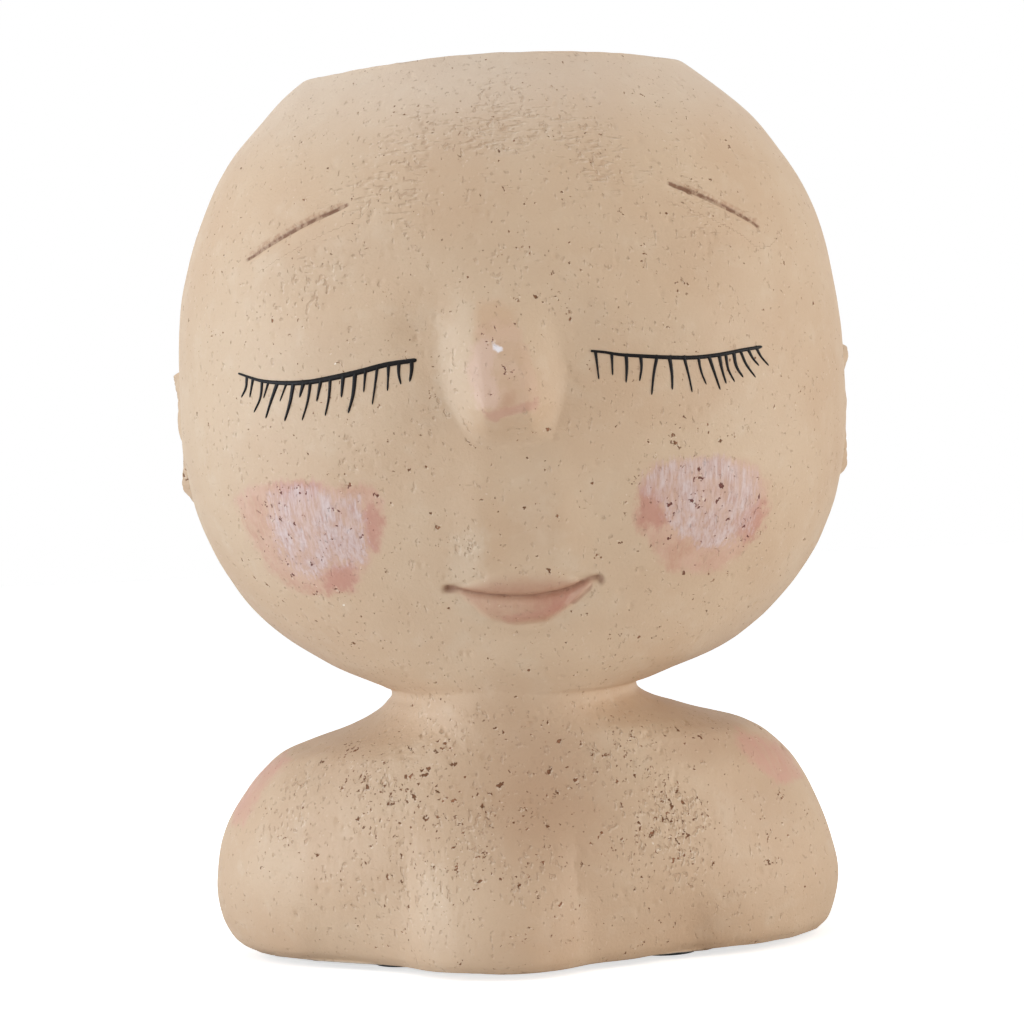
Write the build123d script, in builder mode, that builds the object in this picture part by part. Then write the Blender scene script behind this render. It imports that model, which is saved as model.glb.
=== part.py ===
from build123d import *
from math import cos, pi, radians, sin
import os

# Head planter: a hollow head on a bust, cast in one pour, with painted features,
# a rubber stopper in its drain hole and four pads under its base.
# Millimetres. +Z is up and the face looks towards -Y. The origin is on the surface
# that the pads stand on, under the middle of the planter.
# Left and right are as seen by someone who faces the planter.

# Casting, outside. Fronts and backs are measured from the upright axis of the neck.
head_height = 145.0
head_width = 154.8
head_front = 66.0
head_back = 73.6
neck_width = 57.6
neck_front = 44.0
neck_back = 31.0
bust_height = 58.5
bust_width = 145.4
bust_front = 50.0
bust_back = 46.0
rim_round = 1.2

# Casting, inside
wall = 7.0
neck_passage_width = 41.0
neck_passage_front = 24.0
neck_passage_back = 22.0
floor_thickness = 10.0
drain_bore = 12.6
recess_bore = 22.0
recess_depth = 3.4

# Roundness of a level outline: 2 is an ellipse, less is pointed and more is boxy
head_roundness = 2.1
chest_roundness = 1.6
spine_roundness = 2.3
outline_points = 28

# Outside outlines, from the bottom up. Each row is height, half width, front, back
# and sideways lean, as shares of the height, the half width, the front, the back
# and the half width.
neck_lean_share = -0.028
head_shares = [
    (0.030, 0.461, 0.705, 0.530, -0.007),
    (0.065, 0.613, 0.757, 0.655, 0.004),
    (0.130, 0.773, 0.832, 0.785, 0.002),
    (0.200, 0.878, 0.893, 0.880, 0.004),
    (0.290, 0.956, 0.950, 0.953, 0.003),
    (0.400, 0.995, 0.985, 0.990, 0.003),
    (0.500, 1.000, 1.000, 1.000, 0.002),
    (0.620, 0.986, 0.995, 0.988, 0.002),
    (0.740, 0.936, 0.955, 0.942, 0.002),
    (0.840, 0.850, 0.875, 0.862, -0.001),
    (0.920, 0.735, 0.765, 0.752, -0.005),
    (0.970, 0.638, 0.660, 0.648, -0.014),
    (1.000, 0.574, 0.580, 0.568, -0.014),
]
bust_shares = [
    (0.000, 0.905, 0.960, 0.900, 0.008),
    (0.040, 0.951, 1.005, 0.950, -0.004),
    (0.100, 0.979, 1.025, 0.980, -0.012),
    (0.220, 1.000, 1.030, 1.000, -0.016),
    (0.360, 0.989, 1.015, 0.995, -0.023),
    (0.500, 0.957, 0.990, 0.970, -0.025),
    (0.620, 0.908, 0.955, 0.930, -0.018),
    (0.720, 0.849, 0.920, 0.880, -0.010),
    (0.785, 0.790, 0.897, 0.840, -0.004),
    (0.830, 0.717, 0.884, 0.805, 0.018),
    (0.880, 0.597, 0.877, 0.765, 0.024),
    (0.920, 0.503, 0.874, 0.735, 0.003),
    (0.960, 0.435, 0.876, 0.700, -0.019),
]
head_cavity_shares = [
    (0.030, 0.303, 0.475, 0.376, -0.012),
    (0.065, 0.479, 0.600, 0.534, -0.004),
    (0.130, 0.718, 0.763, 0.722, 0.000),
    (0.200, 0.852, 0.864, 0.850, 0.000),
    (0.290, 0.946, 0.940, 0.943, 0.000),
    (0.400, 0.993, 0.983, 0.988, 0.000),
    (0.500, 1.000, 1.000, 1.000, 0.000),
    (0.620, 0.983, 0.993, 0.986, 0.000),
    (0.740, 0.923, 0.946, 0.932, 0.000),
    (0.840, 0.825, 0.851, 0.839, 0.000),
    (0.920, 0.693, 0.720, 0.707, -0.004),
    (0.970, 0.585, 0.607, 0.594, -0.010),
    (1.000, 0.518, 0.534, 0.523, -0.014),
]
bust_cavity_shares = [
    (0.000, 0.868, 0.860, 0.860, -0.012),
    (0.060, 0.936, 0.930, 0.930, -0.014),
    (0.150, 0.980, 0.980, 0.980, -0.018),
    (0.300, 0.971, 1.000, 0.990, -0.024),
    (0.450, 0.918, 0.970, 0.950, -0.022),
    (0.580, 0.849, 0.919, 0.885, -0.016),
    (0.690, 0.715, 0.872, 0.820, -0.008),
    (0.790, 0.531, 0.790, 0.730, 0.000),
    (0.890, 0.360, 0.686, 0.640, 0.000),
]

# Nose: level outlines from its low end up. Each row is height, half width and how
# far it stands out of the face, as shares of the nose's own sizes.
nose_length = 30.0
nose_width = 15.5
nose_stand = 7.5
nose_root = 12.0
nose_low_share = 0.417
nose_lean_share = -0.018
nose_shares = [
    (0.00, 0.44, -0.10),
    (0.05, 0.80, 0.66),
    (0.12, 0.96, 0.94),
    (0.22, 1.00, 1.00),
    (0.40, 0.86, 0.80),
    (0.62, 0.68, 0.46),
    (0.84, 0.54, 0.12),
    (1.00, 0.40, -0.20),
]

# Mouth: each lip is a spindle of ovals threaded along the smile. Each row is a place
# along the mouth and the size of the oval there, as shares.
mouth_width = 33.5
mouth_smile = 2.3
mouth_level_share = 0.172
mouth_lean_share = 0.011
lip_stand = 1.5
lip_root = 2.6
lip_gap = 0.5
upper_lip = 4.8
lower_lip = 6.4
lip_shares = [(-0.96, 0.20), (-0.64, 0.66), (-0.22, 0.98), (0.22, 0.98), (0.64, 0.66), (0.96, 0.20)]

# Ears: an egg-shaped rim round a hollow, behind the widest line of the head
ear_height = 33.0
ear_breadth = 21.0
ear_lobe = 9.0
ear_stand = 2.8
ear_root = 8.6
ear_rim = 3.4
ear_hollow = 2.4
ear_round = 1.2
ear_low_share = 0.310
ear_back_share = 0.040

# Eyebrows: scored lines
brow_length = 26.0
brow_breadth = 1.5
brow_depth = 0.9
brow_bow = 1.1
brow_slope = 26.0
brow_middle_share = 0.588
brow_level_share = 0.741

# Eyelashes: a lid line with strokes under it, in thick enamel. Strokes run from the
# outer corner of the eye inwards, each as a share of the longest.
lid_length = 39.0
lid_breadth = 0.95
lid_sag = 2.9
lid_middle_share = 0.494
lid_lean_share = -0.019
lid_level_share = 0.526
lash_length = 8.4
lash_root_breadth = 0.85
lash_tip_breadth = 0.30
lash_inner_slope = 3.0
lash_outer_slope = 26.0
lash_first_share = 0.04
left_lash_shares = [
    0.49, 0.44, 0.79, 0.40, 0.92, 0.48, 0.98, 0.38, 0.97,
    0.52, 0.91, 0.54, 1.00, 0.53, 0.91, 0.63, 0.47, 0.51,
]
right_lash_shares = [
    0.53, 0.47, 0.71, 0.61, 0.72, 0.72, 0.86, 0.69,
    0.89, 0.81, 0.97, 0.61, 0.67, 0.51, 0.64,
]

# Cheeks and nose: brushed patches of paint
paint_thickness = 0.3
cheek_breadth = 30.0
cheek_height = 25.0
cheek_middle_share = 0.549
cheek_lean_share = -0.026
cheek_level_share = 0.279
nose_patch_shares = (0.05, 0.82)

# Stopper
stopper_clearance = 0.06
stopper_length = 8.6
stopper_flange = 19.0
stopper_flange_thickness = 2.0
stopper_neck_length = 1.0
stopper_rib_pitch = 1.9
stopper_rib_depth = 0.6
stopper_ribs = 3
stopper_hollow = 6.4
stopper_hollow_depth = 5.6
stopper_tab_length = 11.0
stopper_tab_breadth = 2.4
stopper_tab_drop = 1.2
stopper_edge = 0.5

# Pads, placed as shares of the bust's half width and of its front or back
pad_thickness = 1.5
pad_diameter = 14.0
pad_edge = 0.4
pad_shares = {
    "foot_pad_front_left": (-0.41, -0.40),
    "foot_pad_front_right": (0.41, -0.40),
    "foot_pad_back_left": (-0.54, 0.41),
    "foot_pad_back_right": (0.54, 0.41),
}

# Levels that follow from the sizes
base_level = pad_thickness
floor_level = base_level + floor_thickness
recess_level = base_level + recess_depth
crease_level = base_level + bust_height
nose_low = crease_level + nose_low_share * head_height
overrun = pad_thickness

head_half_width = head_width / 2
bust_half_width = bust_width / 2
neck_lean = neck_lean_share * head_half_width
head_sizes = (head_half_width, head_front, head_back)
bust_sizes = (bust_half_width, bust_front, bust_back)
neck_sizes = (neck_width / 2, neck_front, neck_back)
passage_sizes = (neck_passage_width / 2, neck_passage_front, neck_passage_back)
head_cavity_sizes = [size - wall for size in head_sizes]
bust_cavity_sizes = [size - wall for size in bust_sizes]


def bulged(turn, roundness):
    """Sine or cosine pair of a turn, bulged so that it traces a superellipse."""
    power = 2 / roundness
    across = abs(cos(turn)) ** power
    along = abs(sin(turn)) ** power
    return (across if cos(turn) > 0 else -across), (along if sin(turn) > 0 else -along)


def outline(level, sizes, lean=0.0, front_roundness=head_roundness, back_roundness=head_roundness):
    """A closed level outline with one curve in front of the axis and another behind it."""
    half_width, front, back = sizes
    points = []
    for step in range(outline_points):
        turn = 2 * pi * (step + 0.5) / outline_points
        behind = sin(turn) > 0
        across, along = bulged(turn, back_roundness if behind else front_roundness)
        points.append((lean + half_width * across, along * (back if behind else front)))
    with BuildSketch(Plane.XY.offset(level)) as drawn:
        with BuildLine():
            Spline(*points, periodic=True)
        make_face()
    return drawn.sketch


def head_outline(row, sizes, grow=0.0):
    """An outline of the head, or of its cavity, from a row of shares."""
    level = crease_level + row[0] * head_height
    grown = [share * size + grow for share, size in zip(row[1:4], sizes)]
    return outline(level, grown, row[4] * sizes[0])


def bust_outline(row, sizes, low):
    """An outline of the bust, or of its cavity: boxy behind and bowed in front, round at the neck."""
    level = low + row[0] * (crease_level - low)
    drawn = [share * size for share, size in zip(row[1:4], sizes)]
    rounded = row[0] ** 3
    front_roundness = chest_roundness + (head_roundness - chest_roundness) * rounded
    back_roundness = spine_roundness + (head_roundness - spine_roundness) * rounded
    return outline(level, drawn, row[4] * sizes[0], front_roundness, back_roundness)


def head_form(grow=0.0):
    """The plain head with no features, larger all round by grow."""
    neck = outline(crease_level, [size + grow for size in neck_sizes], neck_lean)
    with BuildPart() as form:
        loft([neck] + [head_outline(row, head_sizes, grow) for row in head_shares])
    return form.part


def bust_form():
    """The bust below the neck's crease."""
    neck = outline(crease_level, neck_sizes, neck_lean)
    with BuildPart() as form:
        loft([bust_outline(row, bust_sizes, base_level) for row in bust_shares] + [neck])
    return form.part


def hollow_form():
    """The space inside: the bowl of the head, the passage in the neck and the bust."""
    passage = outline(crease_level, passage_sizes, neck_lean)
    with BuildPart() as form:
        loft([passage] + [head_outline(row, head_cavity_sizes) for row in head_cavity_shares])
        loft([bust_outline(row, bust_cavity_sizes, floor_level) for row in bust_cavity_shares] + [passage])
    return form.part


def face_depth(x, level):
    """How far the plain head stands in front of the axis at a place on the face."""
    share = (level - crease_level) / head_height
    above = next(index for index, row in enumerate(head_shares) if row[0] > share)
    low, high = head_shares[above - 1], head_shares[above]
    part_way = (share - low[0]) / (high[0] - low[0])
    across = low[1] + part_way * (high[1] - low[1])
    front = low[2] + part_way * (high[2] - low[2])
    sideways = abs(x) / (across * head_half_width)
    return front * head_front * (1 - sideways**head_roundness) ** (1 / head_roundness)


def nose_form(grow=0.0):
    """A wedge that grows out of the brow and ends in a rounded tip."""
    x = nose_lean_share * head_half_width
    ovals = []
    for height, width, stand in nose_shares:
        level = nose_low + height * nose_length
        tip = face_depth(x, level) + stand * nose_stand + grow
        with BuildSketch(Plane((x, nose_root - tip, level))) as oval:
            Ellipse(width * nose_width / 2 + grow, nose_root)
        ovals.append(oval.sketch)
    with BuildPart() as form:
        loft(ovals)
    return form.part


def lip_form(side, height, grow=0.0):
    """One lip: the upper one has side 1 and the lower one has side -1."""
    ovals = []
    for along, size in lip_shares:
        x = mouth_lean_share * head_half_width + along * mouth_width / 2
        line = crease_level + mouth_level_share * head_height + mouth_smile * along**2
        middle = line + side * (lip_gap + size * height) / 2
        depth = face_depth(x, middle)
        upright = Plane(origin=(x, lip_root - depth, middle), x_dir=(0, 1, 0), z_dir=(1, 0, 0))
        with BuildSketch(upright) as oval:
            Ellipse(lip_root + size * lip_stand + grow, size * height / 2 + grow)
        ovals.append(oval.sketch)
    with BuildPart() as form:
        loft(ovals)
    return form.part


def ear_outline(side, inset=0.0):
    """The egg shape of an ear, narrow at the lobe, on an upright plane at its outer face."""
    low = crease_level + ear_low_share * head_height
    front = ear_back_share * head_back
    bowl = ear_breadth / 2
    face = Plane(
        origin=(side * (head_half_width + ear_stand), 0, 0), x_dir=(0, side, 0), z_dir=(side, 0, 0)
    )
    with BuildSketch(face) as egg:
        with Locations((side * (front + ear_lobe), low + ear_lobe / 2)):
            Circle(ear_lobe / 2)
        with Locations((side * (front + bowl), low + ear_height - bowl)):
            Circle(bowl)
        make_hull()
        if inset:
            offset(amount=-inset, mode=Mode.REPLACE)
    return egg.sketch


def ear_form(side):
    """An ear that grows out of the side of the head, with a hollow inside its rim."""
    with BuildPart() as form:
        extrude(ear_outline(side), amount=-ear_root)
        outer = form.faces().sort_by(Axis.X)[-1 if side > 0 else 0]
        fillet(outer.edges(), ear_round)
        extrude(ear_outline(side, ear_rim), amount=-ear_hollow, mode=Mode.SUBTRACT)
    return form.part


def face_plane(middle_share, level_share, slope=0.0):
    """An upright plane through the axis that faces forward, centred on a place on the face."""
    turn = radians(slope)
    return Plane(
        origin=(middle_share * head_half_width, 0, crease_level + level_share * head_height),
        x_dir=(cos(turn), 0, sin(turn)),
        z_dir=(0, -1, 0),
    )


def crescent(plane, length, bow, breadth):
    """A line that swells in the middle, bowed up, or down where bow is negative."""
    ends = (-length / 2, 0), (length / 2, 0)
    with BuildSketch(plane) as drawn:
        with BuildLine():
            ThreePointArc(ends[0], (0, bow + breadth / 2), ends[1])
            ThreePointArc(ends[0], (0, bow - breadth / 2), ends[1])
        make_face()
    return drawn.sketch


def brow_groove(side):
    """What the scored line of an eyebrow takes out of the head."""
    plane = face_plane(side * brow_middle_share, brow_level_share, -side * brow_slope)
    with BuildPart() as groove:
        extrude(crescent(plane, brow_length, brow_bow, brow_breadth), amount=head_front + overrun)
        add(head_form(-brow_depth), mode=Mode.SUBTRACT)
    return groove.part


def lash_outline(side, stroke_shares):
    """A lid line with a stroke of enamel under it for each share, outer strokes leaning out."""
    plane = face_plane(side * lid_middle_share + lid_lean_share, lid_level_share)
    last = len(stroke_shares) - 1
    with BuildSketch(plane) as drawn:
        add(crescent(Plane.XY, lid_length, -lid_sag, lid_breadth))
        for index, share in enumerate(stroke_shares):
            outward = 1 - index / last
            along = (2 * outward - 1) * (1 - 2 * lash_first_share)
            root = (side * along * lid_length / 2, -lid_sag * (1 - along**2))
            slope = radians(lash_inner_slope + outward**2 * (lash_outer_slope - lash_inner_slope))
            drop = share * lash_length
            tip = (root[0] + side * drop * sin(slope), root[1] - drop * cos(slope))
            with BuildLine():
                Polyline(
                    (root[0] - lash_root_breadth / 2, root[1]),
                    (root[0] + lash_root_breadth / 2, root[1]),
                    (tip[0] + lash_tip_breadth / 2, tip[1]),
                    (tip[0] - lash_tip_breadth / 2, tip[1]),
                    close=True,
                )
            make_face()
    return drawn.sketch


def cheek_outline(side):
    with BuildSketch(face_plane(side * cheek_middle_share + cheek_lean_share, cheek_level_share)) as drawn:
        Ellipse(cheek_breadth / 2, cheek_height / 2)
    return drawn.sketch


plain_head = head_form()
plain_nose = nose_form()
plain_lips = [lip_form(1, upper_lip), lip_form(-1, lower_lip)]

# Casting
with BuildPart() as casting:
    add(plain_head)
    add(bust_form())
    add(plain_nose)
    add(plain_lips)
    for side in (-1, 1):
        add(ear_form(side))
        add(brow_groove(side), mode=Mode.SUBTRACT)
    add(hollow_form(), mode=Mode.SUBTRACT)
    with BuildSketch(Plane.XY.offset(base_level)):
        Circle(drain_bore / 2)
    extrude(amount=floor_thickness + overrun, mode=Mode.SUBTRACT)
    with BuildSketch(Plane.XY.offset(base_level)):
        Circle(recess_bore / 2)
    extrude(amount=recess_depth, mode=Mode.SUBTRACT)
    fillet(casting.edges().group_by(Axis.Z)[-1], rim_round)

# Stopper: a ribbed plug pushed up into the drain hole, with a flange and a tab to pull it by
plug_radius = drain_bore / 2 - stopper_clearance
core_radius = plug_radius - stopper_rib_depth
flange_level = recess_level - stopper_flange_thickness
plug_top = recess_level + stopper_length
with BuildPart() as drain_plug:
    with BuildSketch(Plane.XY.offset(flange_level)):
        Circle(stopper_flange / 2)
    extrude(amount=stopper_flange_thickness)
    with BuildSketch(Plane.XY.offset(recess_level)):
        Circle(core_radius)
    extrude(amount=stopper_length)
    for rib in range(stopper_ribs):
        rib_level = recess_level + stopper_neck_length + rib * stopper_rib_pitch
        with BuildSketch(Plane.XY.offset(rib_level)):
            Circle(core_radius)
        with BuildSketch(Plane.XY.offset(rib_level + stopper_rib_pitch / 2)):
            Circle(plug_radius)
        loft()
        with BuildSketch(Plane.XY.offset(rib_level + stopper_rib_pitch / 2)):
            Circle(plug_radius)
        with BuildSketch(Plane.XY.offset(rib_level + stopper_rib_pitch)):
            Circle(core_radius)
        loft()
    with BuildSketch(Plane.XY.offset(plug_top)):
        Circle(stopper_hollow / 2)
    extrude(amount=-stopper_hollow_depth, mode=Mode.SUBTRACT)
    with BuildSketch(Plane.XY.offset(flange_level)):
        SlotOverall(stopper_tab_length, stopper_tab_breadth)
    extrude(amount=-stopper_tab_drop)
    top_edges = drain_plug.edges().filter_by(GeomType.CIRCLE).group_by(Axis.Z)[-1]
    chamfer(top_edges.sort_by(SortBy.RADIUS)[-1], stopper_edge)

# Pads
foot_pads = {}
for name, (across_share, along_share) in pad_shares.items():
    depth = bust_back if along_share > 0 else bust_front
    with BuildPart() as foot_pad:
        with BuildSketch(Plane((across_share * bust_half_width, along_share * depth, 0))):
            Circle(pad_diameter / 2)
        extrude(amount=pad_thickness)
        fillet(foot_pad.edges().group_by(Axis.Z)[0], pad_edge)
    foot_pads[name] = foot_pad

# Eyelashes
painted_head = head_form(paint_thickness)
with BuildPart() as lashes_left:
    extrude(lash_outline(-1, left_lash_shares), amount=head_front + overrun)
    add(painted_head, mode=Mode.INTERSECT)
    add(plain_head, mode=Mode.SUBTRACT)

with BuildPart() as lashes_right:
    extrude(lash_outline(1, right_lash_shares), amount=head_front + overrun)
    add(painted_head, mode=Mode.INTERSECT)
    add(plain_head, mode=Mode.SUBTRACT)

# Cheek paint
with BuildPart() as cheek_paint_left:
    extrude(cheek_outline(-1), amount=head_front + overrun)
    add(painted_head, mode=Mode.INTERSECT)
    add(plain_head, mode=Mode.SUBTRACT)

with BuildPart() as cheek_paint_right:
    extrude(cheek_outline(1), amount=head_front + overrun)
    add(painted_head, mode=Mode.INTERSECT)
    add(plain_head, mode=Mode.SUBTRACT)

# Nose paint, from just above the nose's low end to just short of its root
patch_low, patch_high = [nose_low + share * nose_length for share in nose_patch_shares]
with BuildPart() as nose_paint:
    add(nose_form(paint_thickness))
    split(bisect_by=Plane.XY.offset(patch_high), keep=Keep.BOTTOM)
    split(bisect_by=Plane.XY.offset(patch_low), keep=Keep.TOP)
    add(casting.part, mode=Mode.SUBTRACT)
    add(painted_head, mode=Mode.SUBTRACT)

# Lip paint
with BuildPart() as lip_paint:
    add(lip_form(1, upper_lip, paint_thickness))
    add(lip_form(-1, lower_lip, paint_thickness))
    add(plain_lips, mode=Mode.SUBTRACT)
    add(painted_head, mode=Mode.SUBTRACT)

pieces = {
    "casting": casting,
    "drain_plug": drain_plug,
    **foot_pads,
    "lashes_left": lashes_left,
    "lashes_right": lashes_right,
    "cheek_paint_left": cheek_paint_left,
    "cheek_paint_right": cheek_paint_right,
    "nose_paint": nose_paint,
    "lip_paint": lip_paint,
}

os.makedirs("parts", exist_ok=True)
for name, piece in pieces.items():
    piece.part.label = name
    export_step(piece.part, f"parts/{name}.step")
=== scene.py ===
from math import atan, cos, pi, radians, sin

import bpy
import numpy as np
from mathutils import Matrix, Vector
from mathutils.bvhtree import BVHTree


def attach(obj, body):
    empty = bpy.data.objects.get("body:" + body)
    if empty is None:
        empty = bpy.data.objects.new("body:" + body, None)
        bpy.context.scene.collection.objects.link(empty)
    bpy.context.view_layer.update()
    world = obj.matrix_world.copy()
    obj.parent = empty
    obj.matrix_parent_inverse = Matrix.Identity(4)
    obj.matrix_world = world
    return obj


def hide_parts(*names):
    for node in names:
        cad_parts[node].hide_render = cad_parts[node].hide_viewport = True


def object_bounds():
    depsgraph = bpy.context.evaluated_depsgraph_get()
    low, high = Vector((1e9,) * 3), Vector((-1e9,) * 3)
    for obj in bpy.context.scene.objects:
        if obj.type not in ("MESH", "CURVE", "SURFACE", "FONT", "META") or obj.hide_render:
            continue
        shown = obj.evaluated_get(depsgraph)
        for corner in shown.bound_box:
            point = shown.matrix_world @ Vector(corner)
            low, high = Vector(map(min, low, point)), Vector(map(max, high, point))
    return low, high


# Head planter: the cast head and bust with its painted face, its stopper and its pads.
# Metres. The face looks towards -Y. Left and right are as seen by someone who faces it.

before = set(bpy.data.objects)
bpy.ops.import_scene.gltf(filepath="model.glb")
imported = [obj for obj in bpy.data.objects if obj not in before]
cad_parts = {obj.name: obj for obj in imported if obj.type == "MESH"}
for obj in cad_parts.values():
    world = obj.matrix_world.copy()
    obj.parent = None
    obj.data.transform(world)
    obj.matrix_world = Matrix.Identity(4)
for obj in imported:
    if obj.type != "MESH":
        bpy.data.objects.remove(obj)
cad_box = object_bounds()
MM = 0.001
random = np.random.default_rng(17)

# Camera, placed so that the planter fills the picture as it does in the photograph
image_side = 1024
focal_pixels = 3547
view_distance = 830 * MM
eye_level = 119 * MM
axis_pixel = 516.5
horizon_pixel = 438.0
picture_roll = radians(2.5)
sensor_width = 36.0

# Casting: sizes in millimetres, as built
base_level = 1.5
bust_height = 58.5
head_height = 145.0
crease_level = base_level + bust_height
head_sizes = (77.4, 66.0, 73.6)
bust_sizes = (72.7, 50.0, 46.0)
neck_sizes = (28.8, 44.0, 31.0)
passage_sizes = (20.5, 24.0, 22.0)
wall = 7.0
floor_level = base_level + 10.0
drain_radius = 6.3
recess_radius = 11.0
recess_level = base_level + 3.4
head_roundness = 2.1
chest_roundness = 1.6
spine_roundness = 2.3
neck_lean = -2.19
crease_radius = 6.0
crease_slope = 0.3
prow_places = range(-66, 67, 6)
prow_depths = (
    -2.0, -2.3, -2.8, -5.2, -5.6, -5.0, -2.4, 4.2, 7.1, 7.6, 7.4, 6.6, 3.4,
    -2.0, -3.6, -4.6, -5.6, -5.6, -2.6, -0.8, 0.2, 0.8, -1.8,
)
rim_places = (-60, -46, -38, -26, -15, -5, 6, 18, 28, 36, 42, 50, 60)
rim_drops = (1.4, 1.5, 1.8, 1.2, 0.5, 0.1, 0.0, 0.2, 0.5, 0.9, 0.8, 0.2, 0.0)
rim_fade = (178.0, 202.0)
tip_rounding = 0.12

# Level outlines from the bottom up: height, half width, front, back and lean, as shares
bust_shares = [
    (0.000, 0.905, 0.960, 0.900, 0.008),
    (0.040, 0.951, 1.005, 0.950, -0.004),
    (0.100, 0.979, 1.025, 0.980, -0.012),
    (0.220, 1.001, 1.030, 1.000, -0.016),
    (0.360, 0.989, 1.015, 0.995, -0.023),
    (0.500, 0.957, 0.990, 0.970, -0.025),
    (0.620, 0.908, 0.955, 0.930, -0.018),
    (0.720, 0.849, 0.920, 0.880, -0.010),
    (0.785, 0.790, 0.897, 0.840, -0.004),
    (0.830, 0.717, 0.884, 0.805, 0.018),
    (0.880, 0.597, 0.877, 0.765, 0.024),
    (0.920, 0.503, 0.874, 0.735, 0.003),
    (0.960, 0.435, 0.876, 0.700, -0.019),
    (0.982, 0.410, 0.878, 0.682, -0.028),
]
head_shares = [
    (0.010, 0.370, 0.678, 0.440, -0.029),
    (0.020, 0.412, 0.690, 0.484, -0.013),
    (0.030, 0.461, 0.705, 0.530, -0.007),
    (0.065, 0.613, 0.757, 0.655, 0.004),
    (0.130, 0.773, 0.832, 0.785, 0.002),
    (0.200, 0.878, 0.893, 0.880, 0.004),
    (0.290, 0.956, 0.950, 0.953, 0.003),
    (0.400, 0.995, 0.985, 0.990, 0.003),
    (0.500, 1.000, 1.000, 1.000, 0.002),
    (0.620, 0.986, 0.995, 0.988, 0.002),
    (0.740, 0.936, 0.955, 0.942, 0.002),
    (0.840, 0.850, 0.875, 0.862, -0.001),
    (0.920, 0.735, 0.765, 0.752, -0.005),
    (0.970, 0.638, 0.660, 0.648, -0.014),
    (0.993, 0.589, 0.597, 0.585, -0.014),
    (0.999, 0.576, 0.583, 0.571, -0.014),
]
head_cavity_shares = [
    (0.970, 0.585, 0.607, 0.594, -0.010),
    (0.920, 0.693, 0.720, 0.707, -0.004),
    (0.840, 0.825, 0.851, 0.839, 0.000),
    (0.740, 0.923, 0.946, 0.932, 0.000),
    (0.620, 0.983, 0.993, 0.986, 0.000),
    (0.500, 1.000, 1.000, 1.000, 0.000),
    (0.400, 0.993, 0.983, 0.988, 0.000),
    (0.290, 0.946, 0.940, 0.943, 0.000),
    (0.200, 0.852, 0.864, 0.850, 0.000),
    (0.130, 0.718, 0.763, 0.722, 0.000),
    (0.065, 0.479, 0.600, 0.534, -0.004),
    (0.030, 0.303, 0.475, 0.376, -0.012),
]
bust_cavity_shares = [
    (0.890, 0.360, 0.686, 0.640, 0.000),
    (0.790, 0.531, 0.790, 0.730, 0.000),
    (0.690, 0.715, 0.872, 0.820, -0.008),
    (0.580, 0.849, 0.919, 0.885, -0.016),
    (0.450, 0.918, 0.970, 0.950, -0.022),
    (0.300, 0.971, 1.000, 0.990, -0.024),
    (0.150, 0.980, 0.980, 0.980, -0.018),
    (0.060, 0.936, 0.930, 0.930, -0.014),
    (0.000, 0.868, 0.860, 0.860, -0.012),
]

# Corners of its profile: over the rim, and the edge of the face that it stands on
rim_outer_shares = [(0.9996, 0.573, 0.581, 0.568, -0.014), (1.0, 0.568, 0.577, 0.564, -0.014)]
rim_inner_shares = [(1.0, 0.535, 0.552, 0.541, -0.014), (0.994, 0.527, 0.543, 0.532, -0.014)]
base_share, base_lean = 0.86, -0.7
rounding = 0.4
floor_margin = 2

# Grid of the casting's mesh, finer in front and between the chin and the brows. The change from
# back to front is spread over the columns of the overlap.
front_columns = 480
back_columns = 160
overlap = 24
row_step = 0.68
face_row_step = 0.50
rim_step, inside_step, drain_step = 0.7, 4.0, 5.0
face_levels = (74.0, 182.0)
# Rows of the rim that keep the outside's paint
rim_row_count = 4


def smooth(low, high, value):
    """0 below low, 1 above high and an even curve between them."""
    part = np.clip((value - low) / (high - low), 0.0, 1.0)
    return part * part * (3.0 - 2.0 * part)


def bell(value, width):
    return np.exp(-((value / width) ** 2))


def running_sum(steps):
    return np.concatenate([[0.0], np.cumsum(steps)])


def blurred(values, kernel, mode="same"):
    return np.convolve(values, kernel / kernel.sum(), mode=mode)


def placed(name, data):
    """A new object in the scene."""
    thing = bpy.data.objects.new(name, data)
    bpy.context.scene.collection.objects.link(thing)
    return thing


def lattice_noise(points, cell, seed):
    """Smooth noise from -1 to 1 at points in millimetres, with lumps about one cell wide."""
    side = 32
    table = np.random.default_rng(seed).uniform(-1.0, 1.0, (side, side, side))
    scaled = points / cell
    corner = np.floor(scaled).astype(int)
    part = scaled - corner
    part = part * part * (3.0 - 2.0 * part)
    total = np.zeros(points.shape[:-1])
    for dx in (0, 1):
        for dy in (0, 1):
            for dz in (0, 1):
                at = [(corner[..., i] + d) % side for i, d in enumerate((dx, dy, dz))]
                share = [part[..., i] if d else 1.0 - part[..., i] for i, d in enumerate((dx, dy, dz))]
                total += table[at[0], at[1], at[2]] * share[0] * share[1] * share[2]
    return total


# Camera and the way from a pixel of the photograph to a ray


def camera_axes():
    """The picture's right, up and forward directions."""
    pitch = atan((image_side / 2 - horizon_pixel) / focal_pixels)
    forward = Vector((0, cos(pitch), -sin(pitch)))
    level_up = Vector((0, sin(pitch), cos(pitch)))
    level_right = Vector((1, 0, 0))
    right = level_right * cos(picture_roll) - level_up * sin(picture_roll)
    up = level_right * sin(picture_roll) + level_up * cos(picture_roll)
    return right, up, forward


camera_right, camera_up, camera_forward = camera_axes()
eye = Vector(((image_side / 2 - axis_pixel) / focal_pixels * view_distance, -view_distance, eye_level))


def pixel_ray(pixel):
    across = pixel[0] - image_side / 2
    upward = image_side / 2 - pixel[1]
    return (camera_forward * focal_pixels + camera_right * across + camera_up * upward).normalized()


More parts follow.
